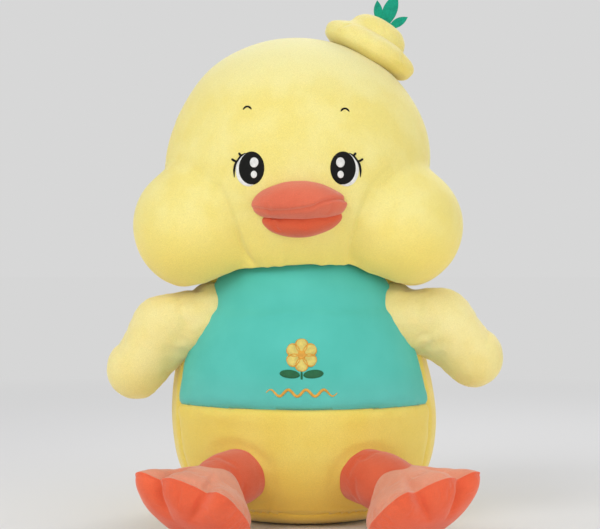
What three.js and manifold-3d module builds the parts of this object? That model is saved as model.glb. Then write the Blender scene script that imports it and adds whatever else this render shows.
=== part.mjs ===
// Seated plush duck, in millimetres.
// +Z is up, the duck faces -Y and its left side is +X.
// The origin is the middle of the flat base that it sits on.
import * as THREE from 'three';
import { mergeVertices } from 'three/addons/utils/BufferGeometryUtils.js';
import Module from 'manifold-3d';

const wasm = await Module();
wasm.setup();

// Fabric and clearances
const CLOTH = 2;            // fabric with its pile
const CLEAR = 0.3;          // gap between pieces that touch
const TAPE = 2;             // seam tape inside a swivelling root
const NECK_TAPE = 2.5;      // the wider tape inside the neck
const ROOM = 0.5;           // extra room for a limb to move in
const HIP_ROOM = 1.6;       // room between a hip and its socket
const ANKLE_ROOM = 1.3;     // room between an ankle and its socket
const REST_CUT = 0.5;       // depth of a form that the floor flattens
const FLOSS = 1.1;          // height of the embroidery
const REACH = 700;          // overrun of the cutting solids

// Torso: a pear whose top is the ball that the head turns on
const TORSO_HALF_WIDTH = 131;
const TORSO_HALF_DEPTH = 118;
const NECK_Z = 185;
const NECK_R = 107;
const NECK_JOIN = 30;       // the pear meets the ball this far above its centre
const HEM_Z = 115;
const SEAT_Z = 14;
const SIDE_SEAM_Y = -44;      // the back panel comes round the sides to here
const pearHeightShares = [-0.003, 0, 0.022, 0.065, 0.173, 0.314, 0.503, 0.665, 0.811, 0.962, 1.075];
const pearWidthShares = [0, 0.47, 0.61, 0.72, 0.866, 0.962, 1, 0.989, 0.954, 0.897, 0.832];

// Head
const HEAD_HALF_WIDTH = 133;
const HEAD_HALF_DEPTH = 115;
const HEAD_HALF_HEIGHT = 126;
const HEAD_Z = 349;
const HEAD_FORWARD = 15;
const JOWL_CURVE_POWER = 2.3;  // of the skull's lower half, 2 for an ellipsoid
const HEAD_SHIFT = -4;      // the head leans a little to the duck's right
const CHEEK_HALF_HEIGHT = 62.2;
const CHEEK_HALF_DEPTH = 67;
const CHEEK_OUTER = 62.2;   // half width away from the face
const CHEEK_INNER = 83;     // half width towards the beak
const CHEEK_OUT = 97.5;
const CHEEK_FORWARD = 45;
const CHEEK_Z = 288.4;
const HEAD_SEAM_Y = 18;

// Wings
const SHOULDER_R = 29;
const SHOULDER_OUT = 85;
const SHOULDER_FORWARD = 33;
const SHOULDER_Z = 200;
const WING_LENGTH = 91;
const WING_MID_R = 33;
const WING_TIP_R = 30;
const WING_FLATNESS_SHARE = 0.82;
const WING_DROOP = { right: 34, left: 26 };
const WING_BOW = 12;        // rise of a wing's middle above the line from root to tip
const WING_BOW_SHARE = 1.1;   // share of the wing's length that the bow spans
const WING_SWEEP = 6;       // degrees that a wing points forward
const WING_FLAP = { right: [-8, 6], left: [-10, 2] };
const WING_SWING = [-10, 10];
const CHEEK_ROOM = 7.5;       // room between a wing and the cheek above it

// Legs and feet
const HIP_R = 26;
const HIP_OUT = 55;
const HIP_FORWARD = 88;
const HIP_Z = 52;
const LEG_MID_R = 27;
const ANKLE_R = 23;
const LEG_RAISE = [-4, 18];
const FOOT_OUT = { right: 95, left: 106 };
const FOOT_FORWARD = 168;
const FOOT_HALF_WIDTH = 51;
const FOOT_HALF_LENGTH = 47;
const FOOT_TOP = 46;
const FOOT_SOLE = 19;
const FOOT_SPLAY = { right: 22, left: 28 };
const FOOT_TILT = 36;       // degrees of the toes above the floor
const FOOT_ROLL = 12;
const ANKLE_BEHIND = 17;    // ankle behind the middle of the foot's thickness
const LEG_BORE_R = 11.5;    // open ends of a leg's cover, inside its seams
const ANKLE_BELOW = 3;      // ankle nearer the heel than the foot's middle
const FOOT_FLEX = [-8, 9];
const footOutShares = [0, 0.3, 0.62, 0.86, 1, 0.93, 0.72, 0.47, 0.38, 0.26, 0, -0.26, -0.38, -0.47,
  -0.72, -0.93, -1, -0.86, -0.62, -0.3];
const footLengthShares = [-1, -0.97, -0.8, -0.45, 0.2, 0.7, 0.85, 0.8, 0.76, 0.89, 0.99, 0.89, 0.76, 0.8,
  0.85, 0.7, 0.2, -0.45, -0.8, -0.97];
const FOOT_HEEL_SHARE = 1.1;   // thickness at the heel, as a share of the middle's
const FOOT_TOE_SHARE = 0.6;    // the same at the toes
const FOOT_CURVE_POWER = 2.6;  // of the curve from the middle to the rim

// Beak
const BEAK_Z = 308;
const BEAK_HALF_WIDTH = 44.5;
const BEAK_HALF_HEIGHT = 17;
const BEAK_HALF_DEPTH = 36;
const BEAK_FORWARD = 116;
const BILL_HALF_WIDTH = 38;
const BILL_HALF_HEIGHT = 13;
const BILL_HALF_DEPTH = 30;
const BILL_DROP = 19;
const BEAK_DROOP = 2.5;     // fall of the upper lobe's corners
const BILL_SMILE = 4;       // rise of the lower lobe's corners

// Eyes and brows
const EYE_OUT = 42.7;
const EYE_Z = 340;
const EYE_HALF_WIDTH = 11.6;
const EYE_HALF_HEIGHT = 15.4;
const EYE_WHITE = 3.2;
const LASH_WIDTH = 1.5;
const LASH_REACH = 3.9;
const LASH_ARC = [58, -27];   // the degrees that the lash line spans
const LASH_COUNT = 2;
const GLINT_R = 3.9;
const SMALL_GLINT_R = 2.9;
const GLINT_IN = 3.2;
const GLINT_UP = 4.4;
const SMALL_GLINT_DOWN = 6.8;
const BROW_OUT = 45.5;
const BROW_ABOVE_EYE = 55;
const BROW_HALF_WIDTH = 4.2;
const BROW_RISE = 2.6;
const BROW_WIDTH = 2;

// Bun on the crown, with its felt leaves
const BUN_OUT = 70;
const BUN_FORWARD = 8;
const BUN_Z = 464;
const BUN_TILT = 30;
const BRIM_R = 47.5;
const BRIM_HALF_HEIGHT = 15;
const CAP_R = 30.5;
const CAP_HALF_HEIGHT = 18;
const CAP_RISE = 13;
const BUN_CURVE_POWER = 2.7;  // of the bun's round edges, 2 for an ellipsoid
const LEAF_LENGTH = 32;
const LEAF_HALF_WIDTH = 8;
const LEAF_THICK = 2;
const LEAF_BASE = 9;        // half the length of the seam that the leaves stand on
const LEAF_LEAN = [-34, -8, 30];
const leafSizeShares = [0.6, 1, 0.6];
const leafPlaceShares = [-0.8, 0, 0.8];

// Chest embroidery: a flower, its leaves and a waved line
const FLOWER_Z = 166;
const FLOWER_R = 15;
const FLOWER_PETALS = 6;
const FLOWER_PETAL_RISE_SHARE = 0.2;
const SPRIG_LENGTH = 21;
const SPRIG_WIDTH = 8;
const SPRIG_STEM = 2.4;
const WAVE_HALF_WIDTH = 33;
const WAVE_Z = 131;
const WAVE_RISE = 3;
const WAVE_LINE = 2.6;
const WAVE_COUNT = 4;

const signOf = { right: -1, left: 1 };
const radians = THREE.MathUtils.degToRad;

// Solids from three.js geometry
function solid(geometry) {
  const bare = geometry.index ? geometry.toNonIndexed() : geometry.clone();
  for (const name of Object.keys(bare.attributes)) {
    if (name !== 'position') bare.deleteAttribute(name);
  }
  const merged = mergeVertices(bare, 1e-4);
  const places = merged.attributes.position.array;
  const corners = [];
  const index = merged.index.array;
  let volume = 0;
  for (let i = 0; i < index.length; i += 3) {
    const [a, b, c] = [index[i], index[i + 1], index[i + 2]];
    if (a === b || b === c || c === a) continue;
    corners.push(a, b, c);
    const [p, q, r] = [a, b, c].map((v) => new THREE.Vector3().fromArray(places, 3 * v));
    volume += p.dot(q.cross(r));
  }
  if (volume < 0) {
    for (let i = 0; i < corners.length; i += 3) {
      [corners[i], corners[i + 1]] = [corners[i + 1], corners[i]];
    }
  }
  const mesh = new wasm.Mesh({
    numProp: 3,
    vertProperties: new Float32Array(places),
    triVerts: new Uint32Array(corners),
  });
  return new wasm.Manifold(mesh);
}

function join(...parts) {
  return parts.reduce((whole, part) => whole.add(part));
}

function without(part, ...cutters) {
  return cutters.reduce((rest, cutter) => rest.subtract(cutter), part);
}

// Only the largest of the bodies that a cut has left
function largest(part) {
  const mesh = part.getMesh();
  const count = mesh.vertProperties.length / mesh.numProp;
  const owner = Array.from({ length: count }, (_, i) => i);
  const find = (i) => {
    while (owner[i] !== i) i = owner[i] = owner[owner[i]];
    return i;
  };
  for (let i = 0; i < (mesh.mergeFromVert?.length ?? 0); i++) {
    owner[find(mesh.mergeFromVert[i])] = find(mesh.mergeToVert[i]);
  }
  for (let i = 0; i < mesh.triVerts.length; i += 3) {
    owner[find(mesh.triVerts[i])] = find(mesh.triVerts[i + 1]);
    owner[find(mesh.triVerts[i + 1])] = find(mesh.triVerts[i + 2]);
  }
  const at = (v) => new THREE.Vector3().fromArray(mesh.vertProperties, mesh.numProp * v);
  const bodies = new Map();
  for (let i = 0; i < mesh.triVerts.length; i += 3) {
    const [a, b, c] = mesh.triVerts.slice(i, i + 3);
    const key = find(a);
    if (!bodies.has(key)) bodies.set(key, { volume: 0, corners: [] });
    const body = bodies.get(key);
    body.volume += at(a).dot(at(b).cross(at(c)));
    body.corners.push(a, b, c);
  }
  const best = [...bodies.values()].sort((one, two) => two.volume - one.volume)[0];
  const places = [];
  for (const v of best.corners) places.push(...at(v).toArray());
  const geometry = new THREE.BufferGeometry();
  geometry.setAttribute('position', new THREE.Float32BufferAttribute(places, 3));
  return geometry;
}

// Unit ball, and the same ball grown until its flat faces touch the unit sphere
function unitBall(detail, outside = false) {
  const geometry = new THREE.IcosahedronGeometry(1, detail);
  if (!outside) return geometry;
  const places = geometry.attributes.position;
  let nearest = 1;
  for (let i = 0; i < places.count; i += 3) {
    const [a, b, c] = [0, 1, 2].map((k) => new THREE.Vector3().fromBufferAttribute(places, i + k));
    const normal = b.clone().sub(a).cross(c.sub(a)).normalize();
    nearest = Math.min(nearest, Math.abs(normal.dot(a)));
  }
  return geometry.scale(1 / nearest, 1 / nearest, 1 / nearest);
}

function ball(centre, r, detail, outside = false) {
  const geometry = unitBall(detail, outside);
  geometry.scale(r, r, r);
  geometry.translate(...centre.toArray());
  return solid(geometry);
}

// A unit ball whose round edges stand out more the higher the power, all over or only below
function fullBall(detail, power, onlyBelow = false) {
  const geometry = unitBall(detail);
  const places = geometry.attributes.position;
  for (let i = 0; i < places.count; i++) {
    const p = new THREE.Vector3().fromBufferAttribute(places, i);
    if (onlyBelow && p.z > 0) continue;
    const edge = Math.hypot(p.x, p.y) ** power + Math.abs(p.z) ** power;
    p.multiplyScalar(edge ** (-1 / power));
    places.setXYZ(i, p.x, p.y, p.z);
  }
  return geometry;
}

// A profile of [radius, height] points turned round Z, then moved point by point
function turned(profile, segments, warp = (p) => p) {
  const points = profile.map(([r, h]) => new THREE.Vector2(Math.max(r, 0), h));
  const geometry = new THREE.LatheGeometry(points, segments);
  const places = geometry.attributes.position;
  for (let i = 0; i < places.count; i++) {
    const p = warp(new THREE.Vector3(places.getX(i), places.getZ(i), places.getY(i)));
    places.setXYZ(i, p.x, p.y, p.z);
  }
  return solid(geometry);
}

function curvePoints(pairs, count) {
  const curve = new THREE.SplineCurve(pairs.map(([r, h]) => new THREE.Vector2(r, h)));
  return curve.getPoints(count).map((p) => [p.x, p.y]);
}

function arcPoints(r, height, from, to, count) {
  return Array.from({ length: count + 1 }, (_, i) => {
    const angle = radians(from + (to - from) * i / count);
    return [r * Math.cos(angle), height + r * Math.sin(angle)];
  });
}

// A half space as a large box
function half(axis, at, side) {
  const geometry = new THREE.BoxGeometry(2 * REACH, 2 * REACH, 2 * REACH);
  const move = { x: 0, y: 0, z: 0 };
  move[axis] = at + side * REACH;
  geometry.translate(move.x, move.y, move.z);
  return solid(geometry);
}

function placed(part, matrix) {
  return part.transform(matrix.elements);
}

// Turning about an axis through a point
function turnAbout(point, axis, degrees) {
  return new THREE.Matrix4().makeTranslation(point)
    .multiply(new THREE.Matrix4().makeRotationAxis(axis, radians(degrees)))
    .multiply(new THREE.Matrix4().makeTranslation(point.clone().negate()));
}

// A flat outline in X and Z, run through the duck's front along Y
function frontPrism(points) {
  const shape = new THREE.Shape(points.map(([x, z]) => new THREE.Vector2(x, z)));
  const geometry = new THREE.ExtrudeGeometry(shape, { depth: REACH, bevelEnabled: false });
  geometry.rotateX(Math.PI / 2);
  return solid(geometry);
}

// The line of a stroke, thickened, as a closed outline
function strokeOutline(line, width) {
  const sides = [1, -1].map((side) => line.map((p, i) => {
    const before = line[Math.max(i - 1, 0)];
    const after = line[Math.min(i + 1, line.length - 1)];
    const along = new THREE.Vector2(after[0] - before[0], after[1] - before[1]).normalize();
    return [p[0] - side * along.y * width / 2, p[1] + side * along.x * width / 2];
  }));
  return [...sides[0], ...sides[1].reverse()];
}

function ovalOutline(x, z, halfWidth, halfHeight, count) {
  return Array.from({ length: count }, (_, i) => {
    const angle = 2 * Math.PI * i / count;
    return [x + halfWidth * Math.cos(angle), z + halfHeight * Math.sin(angle)];
  });
}

// Torso form, grown outwards by a distance
const NECK = new THREE.Vector3(0, 0, NECK_Z);
const PEAR_STEPS = { fine: 10, coarse: 6 };
const BALL_STEPS = 4;
const TORSO_SEGMENTS = { fine: 24, coarse: 16 };

function torsoForm(grow, quality) {
  const joinZ = NECK_Z + NECK_JOIN;
  const joinAngle = THREE.MathUtils.radToDeg(Math.asin(NECK_JOIN / NECK_R));
  const pear = pearHeightShares.map((share, i) => [pearWidthShares[i] * TORSO_HALF_WIDTH, share * NECK_Z]);
  const ballTop = arcPoints(NECK_R, NECK_Z, joinAngle, 90, BALL_STEPS);
  const lower = curvePoints([...pear, ballTop[0]], PEAR_STEPS[quality]).slice(0, -1);
  lower[0][0] = 0;
  const middleZ = NECK_Z / 2;
  const flatness = TORSO_HALF_DEPTH / TORSO_HALF_WIDTH;
  const warp = (p) => {
    const roundness = THREE.MathUtils.smoothstep(p.z, middleZ, joinZ);
    p.y *= THREE.MathUtils.lerp(flatness, 1, roundness);
    const centre = new THREE.Vector3(0, 0, p.z > joinZ ? NECK_Z : Math.min(p.z, joinZ));
    const lift = p.z > joinZ ? NECK_Z : THREE.MathUtils.lerp(middleZ, NECK_Z, Math.max(p.z, 0) / joinZ);
    centre.z = lift;
    const out = p.clone().sub(centre).normalize();
    return p.addScaledVector(out, grow);
  };
  return turned([...lower, ...ballTop], TORSO_SEGMENTS[quality], warp);
}

// Head form: the skull and its two cheeks, grown outwards by a distance
const SKULL = new THREE.Vector3(HEAD_SHIFT, -HEAD_FORWARD, HEAD_Z);
const SKULL_DETAIL = { fine: 4, coarse: 2 };
const CHEEK_DETAIL = { fine: 3, coarse: 1 };

function skullForm(grow, quality) {
  const geometry = fullBall(SKULL_DETAIL[quality], JOWL_CURVE_POWER, true);
  geometry.scale(HEAD_HALF_WIDTH + grow, HEAD_HALF_DEPTH + grow, HEAD_HALF_HEIGHT + grow);
  geometry.translate(...SKULL.toArray());
  return solid(geometry);
}

function cheekForm(side, grow, quality) {
  const geometry = unitBall(CHEEK_DETAIL[quality]);
  const places = geometry.attributes.position;
  for (let i = 0; i < places.count; i++) {
    const out = places.getX(i) * signOf[side];
    places.setX(i, places.getX(i) * ((out > 0 ? CHEEK_OUTER : CHEEK_INNER) + grow));
  }
  geometry.scale(1, CHEEK_HALF_DEPTH + grow, CHEEK_HALF_HEIGHT + grow);
  geometry.translate(HEAD_SHIFT + signOf[side] * CHEEK_OUT, -CHEEK_FORWARD, CHEEK_Z);
  return solid(geometry);
}

// Roots: balls that turn in sockets, with a seam tape between where there are two axes
const shoulder = (side) => new THREE.Vector3(signOf[side] * SHOULDER_OUT, -SHOULDER_FORWARD, SHOULDER_Z);
const hip = (side) => new THREE.Vector3(signOf[side] * HIP_OUT, -HIP_FORWARD, HIP_Z);
const NECK_SOCKET_R = NECK_R + NECK_TAPE + 2 * CLEAR;
const SHOULDER_SOCKET_R = SHOULDER_R + TAPE + 2 * CLEAR;
const HIP_SOCKET_R = HIP_R + HIP_ROOM;
const ROOT_DETAIL = 2;
const SOCKET_DETAIL = 3;
const TORSO_SOCKET_DETAIL = 1;

function torsoSockets() {
  return Object.keys(signOf).flatMap((side) => [
    ball(shoulder(side), SHOULDER_SOCKET_R, TORSO_SOCKET_DETAIL, true),
    ball(hip(side), HIP_SOCKET_R, TORSO_SOCKET_DETAIL, true),
  ]);
}

// A seam tape: a band of cloth between a ball and its socket, round an upright or level axis
function seamTape(centre, ballR, thick, axis, [from, to], segments, steps) {
  const snug = 1 / (Math.cos(Math.PI / segments) * Math.cos(radians((to - from) / steps / 2)));
  const inside = arcPoints((ballR + CLEAR) * snug, 0, from, to, steps);
  const outside = arcPoints(ballR + CLEAR + thick, 0, to, from, steps);
  const turn = new THREE.Quaternion().setFromUnitVectors(new THREE.Vector3(0, 0, 1), axis);
  const warp = (p) => p.applyQuaternion(turn).add(centre);
  return turned([...inside, ...outside, inside[0]], segments, warp);
}

// Named pieces and their colours
const nodes = [];
const colours = {
  yellow: [0.93, 0.85, 0.5], mint: [0.32, 0.74, 0.68], coral: [0.86, 0.42, 0.3], teal: [0.07, 0.6, 0.5],
  white: [0.96, 0.95, 0.92], black: [0.06, 0.06, 0.05], fill: [0.93, 0.92, 0.9], gold: [0.87, 0.77, 0.36],
  green: [0.08, 0.42, 0.24],
};
const roughness = { plush: 0.95, floss: 0.6, felt: 1 };

function piece(name, part, colour, finish = 'plush') {
  const geometry = largest(part);
  geometry.computeVertexNormals();
  const material = new THREE.MeshStandardMaterial({
    color: new THREE.Color(...colours[colour]),
    roughness: roughness[finish],
    metalness: 0,
  });
  const mesh = new THREE.Mesh(geometry, material);
  mesh.name = name;
  nodes.push(mesh);
}

const UNDER = -CLOTH;               // inner face of the cloth
const FILL = -CLOTH - CLEAR;        // outer face of the stuffing
const SLIT = CLEAR / 2;             // half the slit at a sewn seam

// Torso pieces: a shirt panel, a belly panel, a back panel and a seat panel
function slab(axis, from, to) {
  return half(axis, from, 1).subtract(half(axis, to, 1));
}

function buildTorso() {
  const lining = torsoForm(UNDER, 'coarse').subtract(half('z', CLOTH, -1));
  const shell = without(torsoForm(0, 'fine'), lining, half('z', 0, -1), ...torsoSockets());
  const front = shell.subtract(half('y', SIDE_SEAM_Y - SLIT, 1));
  const back = shell.subtract(half('y', SIDE_SEAM_Y + SLIT, -1));
  piece('shirt_panel', front.subtract(half('z', HEM_Z + SLIT, -1)), 'mint');
  piece('belly_panel', front.intersect(slab('z', SEAT_Z + SLIT, HEM_Z - SLIT)), 'yellow');
  piece('back_panel', back.subtract(half('z', SEAT_Z + SLIT, -1)), 'yellow');
  piece('seat_panel', shell.subtract(half('z', SEAT_Z - SLIT, 1)), 'yellow');
  const fill = without(torsoForm(FILL, 'coarse'), half('z', CLOTH + CLEAR, -1), ...torsoSockets());
  piece('torso_stuffing', fill, 'fill');
}

// Chest embroidery, lying on the shirt
function chestPatch(points) {
  const layer = torsoForm(CLEAR + FLOSS, 'fine').subtract(torsoForm(CLEAR, 'fine'));
  return layer.intersect(frontPrism(points));
}

function flowerOutline() {
  const steps = 8 * FLOWER_PETALS;
  return Array.from({ length: steps }, (_, i) => {
    const angle = 2 * Math.PI * i / steps;
    const petal = 1 - FLOWER_PETAL_RISE_SHARE * (1 - Math.abs(Math.cos(FLOWER_PETALS * angle / 2)));
    return [FLOWER_R * petal * Math.cos(angle), FLOWER_Z + FLOWER_R * petal * Math.sin(angle)];
  });
}

function sprigOutline() {
  const base = FLOWER_Z - FLOWER_R - 2 * SPRIG_STEM;
  const leaf = (side) => [
    [side * SPRIG_STEM / 2, base],
    [side * SPRIG_LENGTH / 2, base + SPRIG_WIDTH / 2],
    [side * SPRIG_LENGTH, base + SPRIG_STEM],
    [side * SPRIG_LENGTH * 2 / 3, base - SPRIG_WIDTH / 2],
    [side * SPRIG_STEM / 2, base - SPRIG_STEM],
  ];
  return [...leaf(1).reverse(), ...leaf(-1)];
}

function waveOutline() {
  const steps = 6 * WAVE_COUNT;
  const line = Array.from({ length: steps + 1 }, (_, i) => {
    const x = WAVE_HALF_WIDTH * (2 * i / steps - 1);
    return [x, WAVE_Z + WAVE_RISE * Math.sin(2 * Math.PI * WAVE_COUNT * i / steps)];
  });
  return strokeOutline(line, WAVE_LINE);
}

function buildChest() {
  piece('flower_patch', chestPatch(flowerOutline()), 'gold', 'floss');
  piece('leaf_patch', chestPatch(sprigOutline()), 'green', 'floss');
  piece('wave_stitch', chestPatch(waveOutline()), 'gold', 'floss');
}

// The degrees from a root's equator that its tape spans
const NECK_TAPE_BAND = [46, 54];
const SHOULDER_TAPE_BAND = [-62, -36];

// Head pieces
function headForm(grow, quality) {
  return join(skullForm(grow, quality), ...Object.keys(signOf).map((side) => cheekForm(side, grow, quality)));
}

function buildHead() {
  const socket = ball(NECK, NECK_SOCKET_R, SOCKET_DETAIL, true);
  const hollow = headForm(UNDER, 'coarse').add(socket);
  const skullCloth = skullForm(0, 'fine').subtract(hollow);
  piece('face_panel', skullCloth.subtract(half('y', HEAD_SEAM_Y - SLIT, 1)), 'yellow');
  piece('head_back_panel', skullCloth.subtract(half('y', HEAD_SEAM_Y + SLIT, -1)), 'yellow');
  const inside = skullForm(CLEAR, 'fine').add(hollow);
  for (const side of Object.keys(signOf)) {
    piece(`cheek_${side}_panel`, cheekForm(side, 0, 'fine').subtract(inside), 'yellow');
  }
  piece('head_stuffing', headForm(FILL, 'coarse').subtract(socket), 'fill');
}

// Face embroidery, lying on the head
function facePatch(points, low = CLEAR, high = CLEAR + FLOSS) {
  const front = frontPrism(points.map(([x, z]) => [HEAD_SHIFT + x, z]));
  return skullForm(high, 'fine').subtract(skullForm(low, 'fine')).intersect(front);
}

const OVAL_POINTS = 16;
const GLINT_POINTS = 8;

function buildEyes() {
  for (const [name, side] of Object.entries(signOf)) {
    const pupil = ovalOutline(side * EYE_OUT, EYE_Z, EYE_HALF_WIDTH, EYE_HALF_HEIGHT, OVAL_POINTS);
    piece(`eye_${name}_pupil`, facePatch(pupil), 'black', 'floss');
    const white = facePatch(ovalOutline(side * (EYE_OUT + EYE_WHITE), EYE_Z,
      EYE_HALF_WIDTH, EYE_HALF_HEIGHT, OVAL_POINTS));
    const hole = frontPrism(ovalOutline(HEAD_SHIFT + side * EYE_OUT, EYE_Z,
      EYE_HALF_WIDTH + CLEAR, EYE_HALF_HEIGHT + CLEAR, OVAL_POINTS));
    piece(`eye_${name}_white`, white.subtract(hole), 'white', 'floss');
    const glints = { large: [GLINT_UP, GLINT_R], small: [-SMALL_GLINT_DOWN, SMALL_GLINT_R] };
    for (const [size, [up, r]] of Object.entries(glints)) {
      const outline = ovalOutline(side * (EYE_OUT - GLINT_IN), EYE_Z + up, r, r, GLINT_POINTS);
      const low = 2 * CLEAR + FLOSS;
      piece(`eye_${name}_glint_${size}`, facePatch(outline, low, low + FLOSS), 'white', 'floss');
    }
    const steps = 5;
    const arc = Array.from({ length: steps + 1 }, (_, i) => {
      const angle = radians(THREE.MathUtils.lerp(...LASH_ARC, i / steps));
      const reach = EYE_HALF_WIDTH + EYE_WHITE + LASH_WIDTH;
      return [side * (EYE_OUT + reach * Math.cos(angle)), EYE_Z + EYE_HALF_HEIGHT * Math.sin(angle)];
    });
    const lashes = arc.slice(0, LASH_COUNT).map(([x, z]) => strokeOutline([
      [x - side * LASH_WIDTH / 2, z - LASH_WIDTH / 2],
      [x + side * LASH_REACH, z + LASH_REACH],
    ], LASH_WIDTH));
    const strokes = [strokeOutline(arc, LASH_WIDTH), ...lashes].map((outline) => facePatch(outline));
    const clearOfWhite = frontPrism(ovalOutline(HEAD_SHIFT + side * (EYE_OUT + EYE_WHITE), EYE_Z,
      EYE_HALF_WIDTH + CLEAR, EYE_HALF_HEIGHT + CLEAR, OVAL_POINTS));
    piece(`eye_${name}_lashes`, join(...strokes).subtract(clearOfWhite), 'black', 'floss');
    const brow = Array.from({ length: steps + 1 }, (_, i) => {
      const share = 2 * i / steps - 1;
      return [side * BROW_OUT + BROW_HALF_WIDTH * share, EYE_Z + BROW_ABOVE_EYE - BROW_RISE * share * share];
    });
    piece(`brow_${name}`, facePatch(strokeOutline(brow, BROW_WIDTH)), 'black', 'floss');
  }
}

// Beak: two stuffed lobes, the lower tucked under the upper
const BEAK_DETAIL = { fine: 3, coarse: 1 };

function beakLobe(grow, z, halves, rise) {
  const geometry = unitBall(BEAK_DETAIL[grow < 0 ? 'coarse' : 'fine']);
  geometry.scale(...halves.map((size) => size + grow));
  const places = geometry.attributes.position;
  for (let i = 0; i < places.count; i++) {
    const out = places.getX(i) / halves[0];
    places.setZ(i, places.getZ(i) + rise * out * out);
  }
  geometry.translate(HEAD_SHIFT, -BEAK_FORWARD, z);
  return solid(geometry);
}

function upperBeak(grow) {
  const halves = [BEAK_HALF_WIDTH, BEAK_HALF_DEPTH, BEAK_HALF_HEIGHT];
  return beakLobe(grow, BEAK_Z, halves, -BEAK_DROOP);
}

function lowerBeak(grow) {
  const halves = [BILL_HALF_WIDTH, BILL_HALF_DEPTH, BILL_HALF_HEIGHT];
  return beakLobe(grow, BEAK_Z - BILL_DROP, halves, BILL_SMILE).subtract(upperBeak(CLEAR - grow));
}

function buildBeak() {
  const face = join(skullForm(CLEAR, 'fine'), ball(NECK, NECK_SOCKET_R, SOCKET_DETAIL, true));
  const lobes = { upper: upperBeak, lower: lowerBeak };
  for (const [name, form] of Object.entries(lobes)) {
    piece(`beak_${name}_cover`, without(form(0), form(UNDER), face), 'coral');
    piece(`beak_${name}_stuffing`, without(form(FILL), face), 'fill');
  }
}

// Bun with a brim and a cap
const bunAxis = new THREE.Vector3(Math.sin(radians(BUN_TILT)), 0, Math.cos(radians(BUN_TILT)));
const bunCentre = new THREE.Vector3(BUN_OUT + HEAD_SHIFT, -BUN_FORWARD, BUN_Z);
const BUN_DETAIL = { fine: 3, coarse: 1 };

function bunForm(rise, r, halfHeight, grow, quality) {
  const geometry = fullBall(BUN_DETAIL[quality], BUN_CURVE_POWER);
  geometry.scale(r + grow, r + grow, halfHeight + grow);
  geometry.rotateY(radians(BUN_TILT));
  geometry.translate(...bunCentre.clone().addScaledVector(bunAxis, rise).toArray());
  return solid(geometry);
}

const brimForm = (grow, quality) => bunForm(0, BRIM_R, BRIM_HALF_HEIGHT, grow, quality);
const capForm = (grow, quality) => bunForm(CAP_RISE, CAP_R, CAP_HALF_HEIGHT, grow, quality);

function buildBun() {
  const crown = skullForm(CLEAR, 'fine');
  const hollow = brimForm(UNDER, 'coarse').add(capForm(UNDER, 'coarse'));
  piece('bun_brim_cover', without(brimForm(0, 'fine'), hollow, crown), 'yellow');
  piece('bun_cap_cover', without(capForm(0, 'fine'), hollow, brimForm(CLEAR, 'fine'), crown), 'yellow');
  const fill = brimForm(FILL, 'coarse').add(capForm(FILL, 'coarse'));
  piece('bun_stuffing', fill.subtract(crown), 'fill');
}

// Felt leaves cut as one piece and sewn to the cap along their foot
const leafRoot = bunCentre.clone()
  .addScaledVector(bunAxis, CAP_RISE + CAP_HALF_HEIGHT + CLEAR + LEAF_THICK / 2);

function leafForm(size) {
  const width = LEAF_HALF_WIDTH * size;
  const length = LEAF_LENGTH * size;
  const outline = new THREE.Shape();
  outline.moveTo(-width / 2, 0);
  outline.quadraticCurveTo(-width * 3 / 2, length / 2, 0, length);
  outline.quadraticCurveTo(width * 3 / 2, length / 2, width / 2, 0);
  const geometry = new THREE.ExtrudeGeometry(outline,
    { depth: LEAF_THICK, bevelEnabled: false, curveSegments: 3 });
  geometry.translate(0, 0, -LEAF_THICK / 2);
  geometry.rotateX(Math.PI / 2);
  return geometry;
}

function buildLeaf() {
  const inPlace = (geometry) => {
    geometry.rotateY(radians(BUN_TILT));
    geometry.translate(...leafRoot.toArray());
    return solid(geometry);
  };
  const leaves = LEAF_LEAN.map((lean, i) => {
    const geometry = leafForm(leafSizeShares[i]);
    geometry.rotateY(radians(lean));
    geometry.translate(leafPlaceShares[i] * LEAF_BASE, 0, 0);
    return inPlace(geometry);
  });
  const foot = new THREE.CylinderGeometry(LEAF_THICK / 2, LEAF_THICK / 2, 2 * LEAF_BASE, 8);
  foot.rotateZ(Math.PI / 2);
  piece('leaf_crown', join(...leaves, inPlace(foot)).subtract(capForm(CLEAR, 'fine')), 'teal', 'felt');
}

// Limbs: a profile turned round the line from its root
const LIMB_STEPS = { fine: 5, coarse: 3 };
const LIMB_SEGMENTS = { fine: 14, coarse: 8 };
const CAP_STEPS = 3;

function limb(rootR, midR, tipR, reach, grow, quality, place) {
  const root = arcPoints(rootR + grow, 0, -90, 0, CAP_STEPS);
  const tip = arcPoints(tipR + grow, reach, 15, 90, CAP_STEPS);
  const middle = curvePoints([root.at(-1), [midR + grow, reach / 2], tip[0]], LIMB_STEPS[quality]);
  return turned([...root.slice(0, -1), ...middle.slice(0, -1), ...tip], LIMB_SEGMENTS[quality], place);
}

function wingForm(side, grow, quality) {
  const turn = new THREE.Quaternion().setFromEuler(
    new THREE.Euler(0, radians(90 + WING_DROOP[side]), -radians(WING_SWEEP), 'ZYX'));
  const root = shoulder(side);
  return limb(SHOULDER_R, WING_MID_R, WING_TIP_R, WING_LENGTH, grow, quality, (p) => {
    const out = THREE.MathUtils.smoothstep(p.z, 0, WING_LENGTH / 2);
    p.y *= THREE.MathUtils.lerp(1, WING_FLATNESS_SHARE, out);
    const along = THREE.MathUtils.clamp(p.z / WING_LENGTH / WING_BOW_SHARE, 0, 1);
    p.x -= WING_BOW * Math.sin(along * Math.PI) ** 2;
    p.applyQuaternion(turn);
    p.x *= signOf[side];
    return p.add(root);
  });
}

// The poses of a limb about its root, for carving it clear of what it hangs on
function limbPoses(root, swings) {
  return swings.map((turns) => {
    const pose = new THREE.Matrix4();
    for (const [axis, angle] of turns) pose.multiply(turnAbout(root, axis, angle));
    return pose.invert();
  });
}

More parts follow.
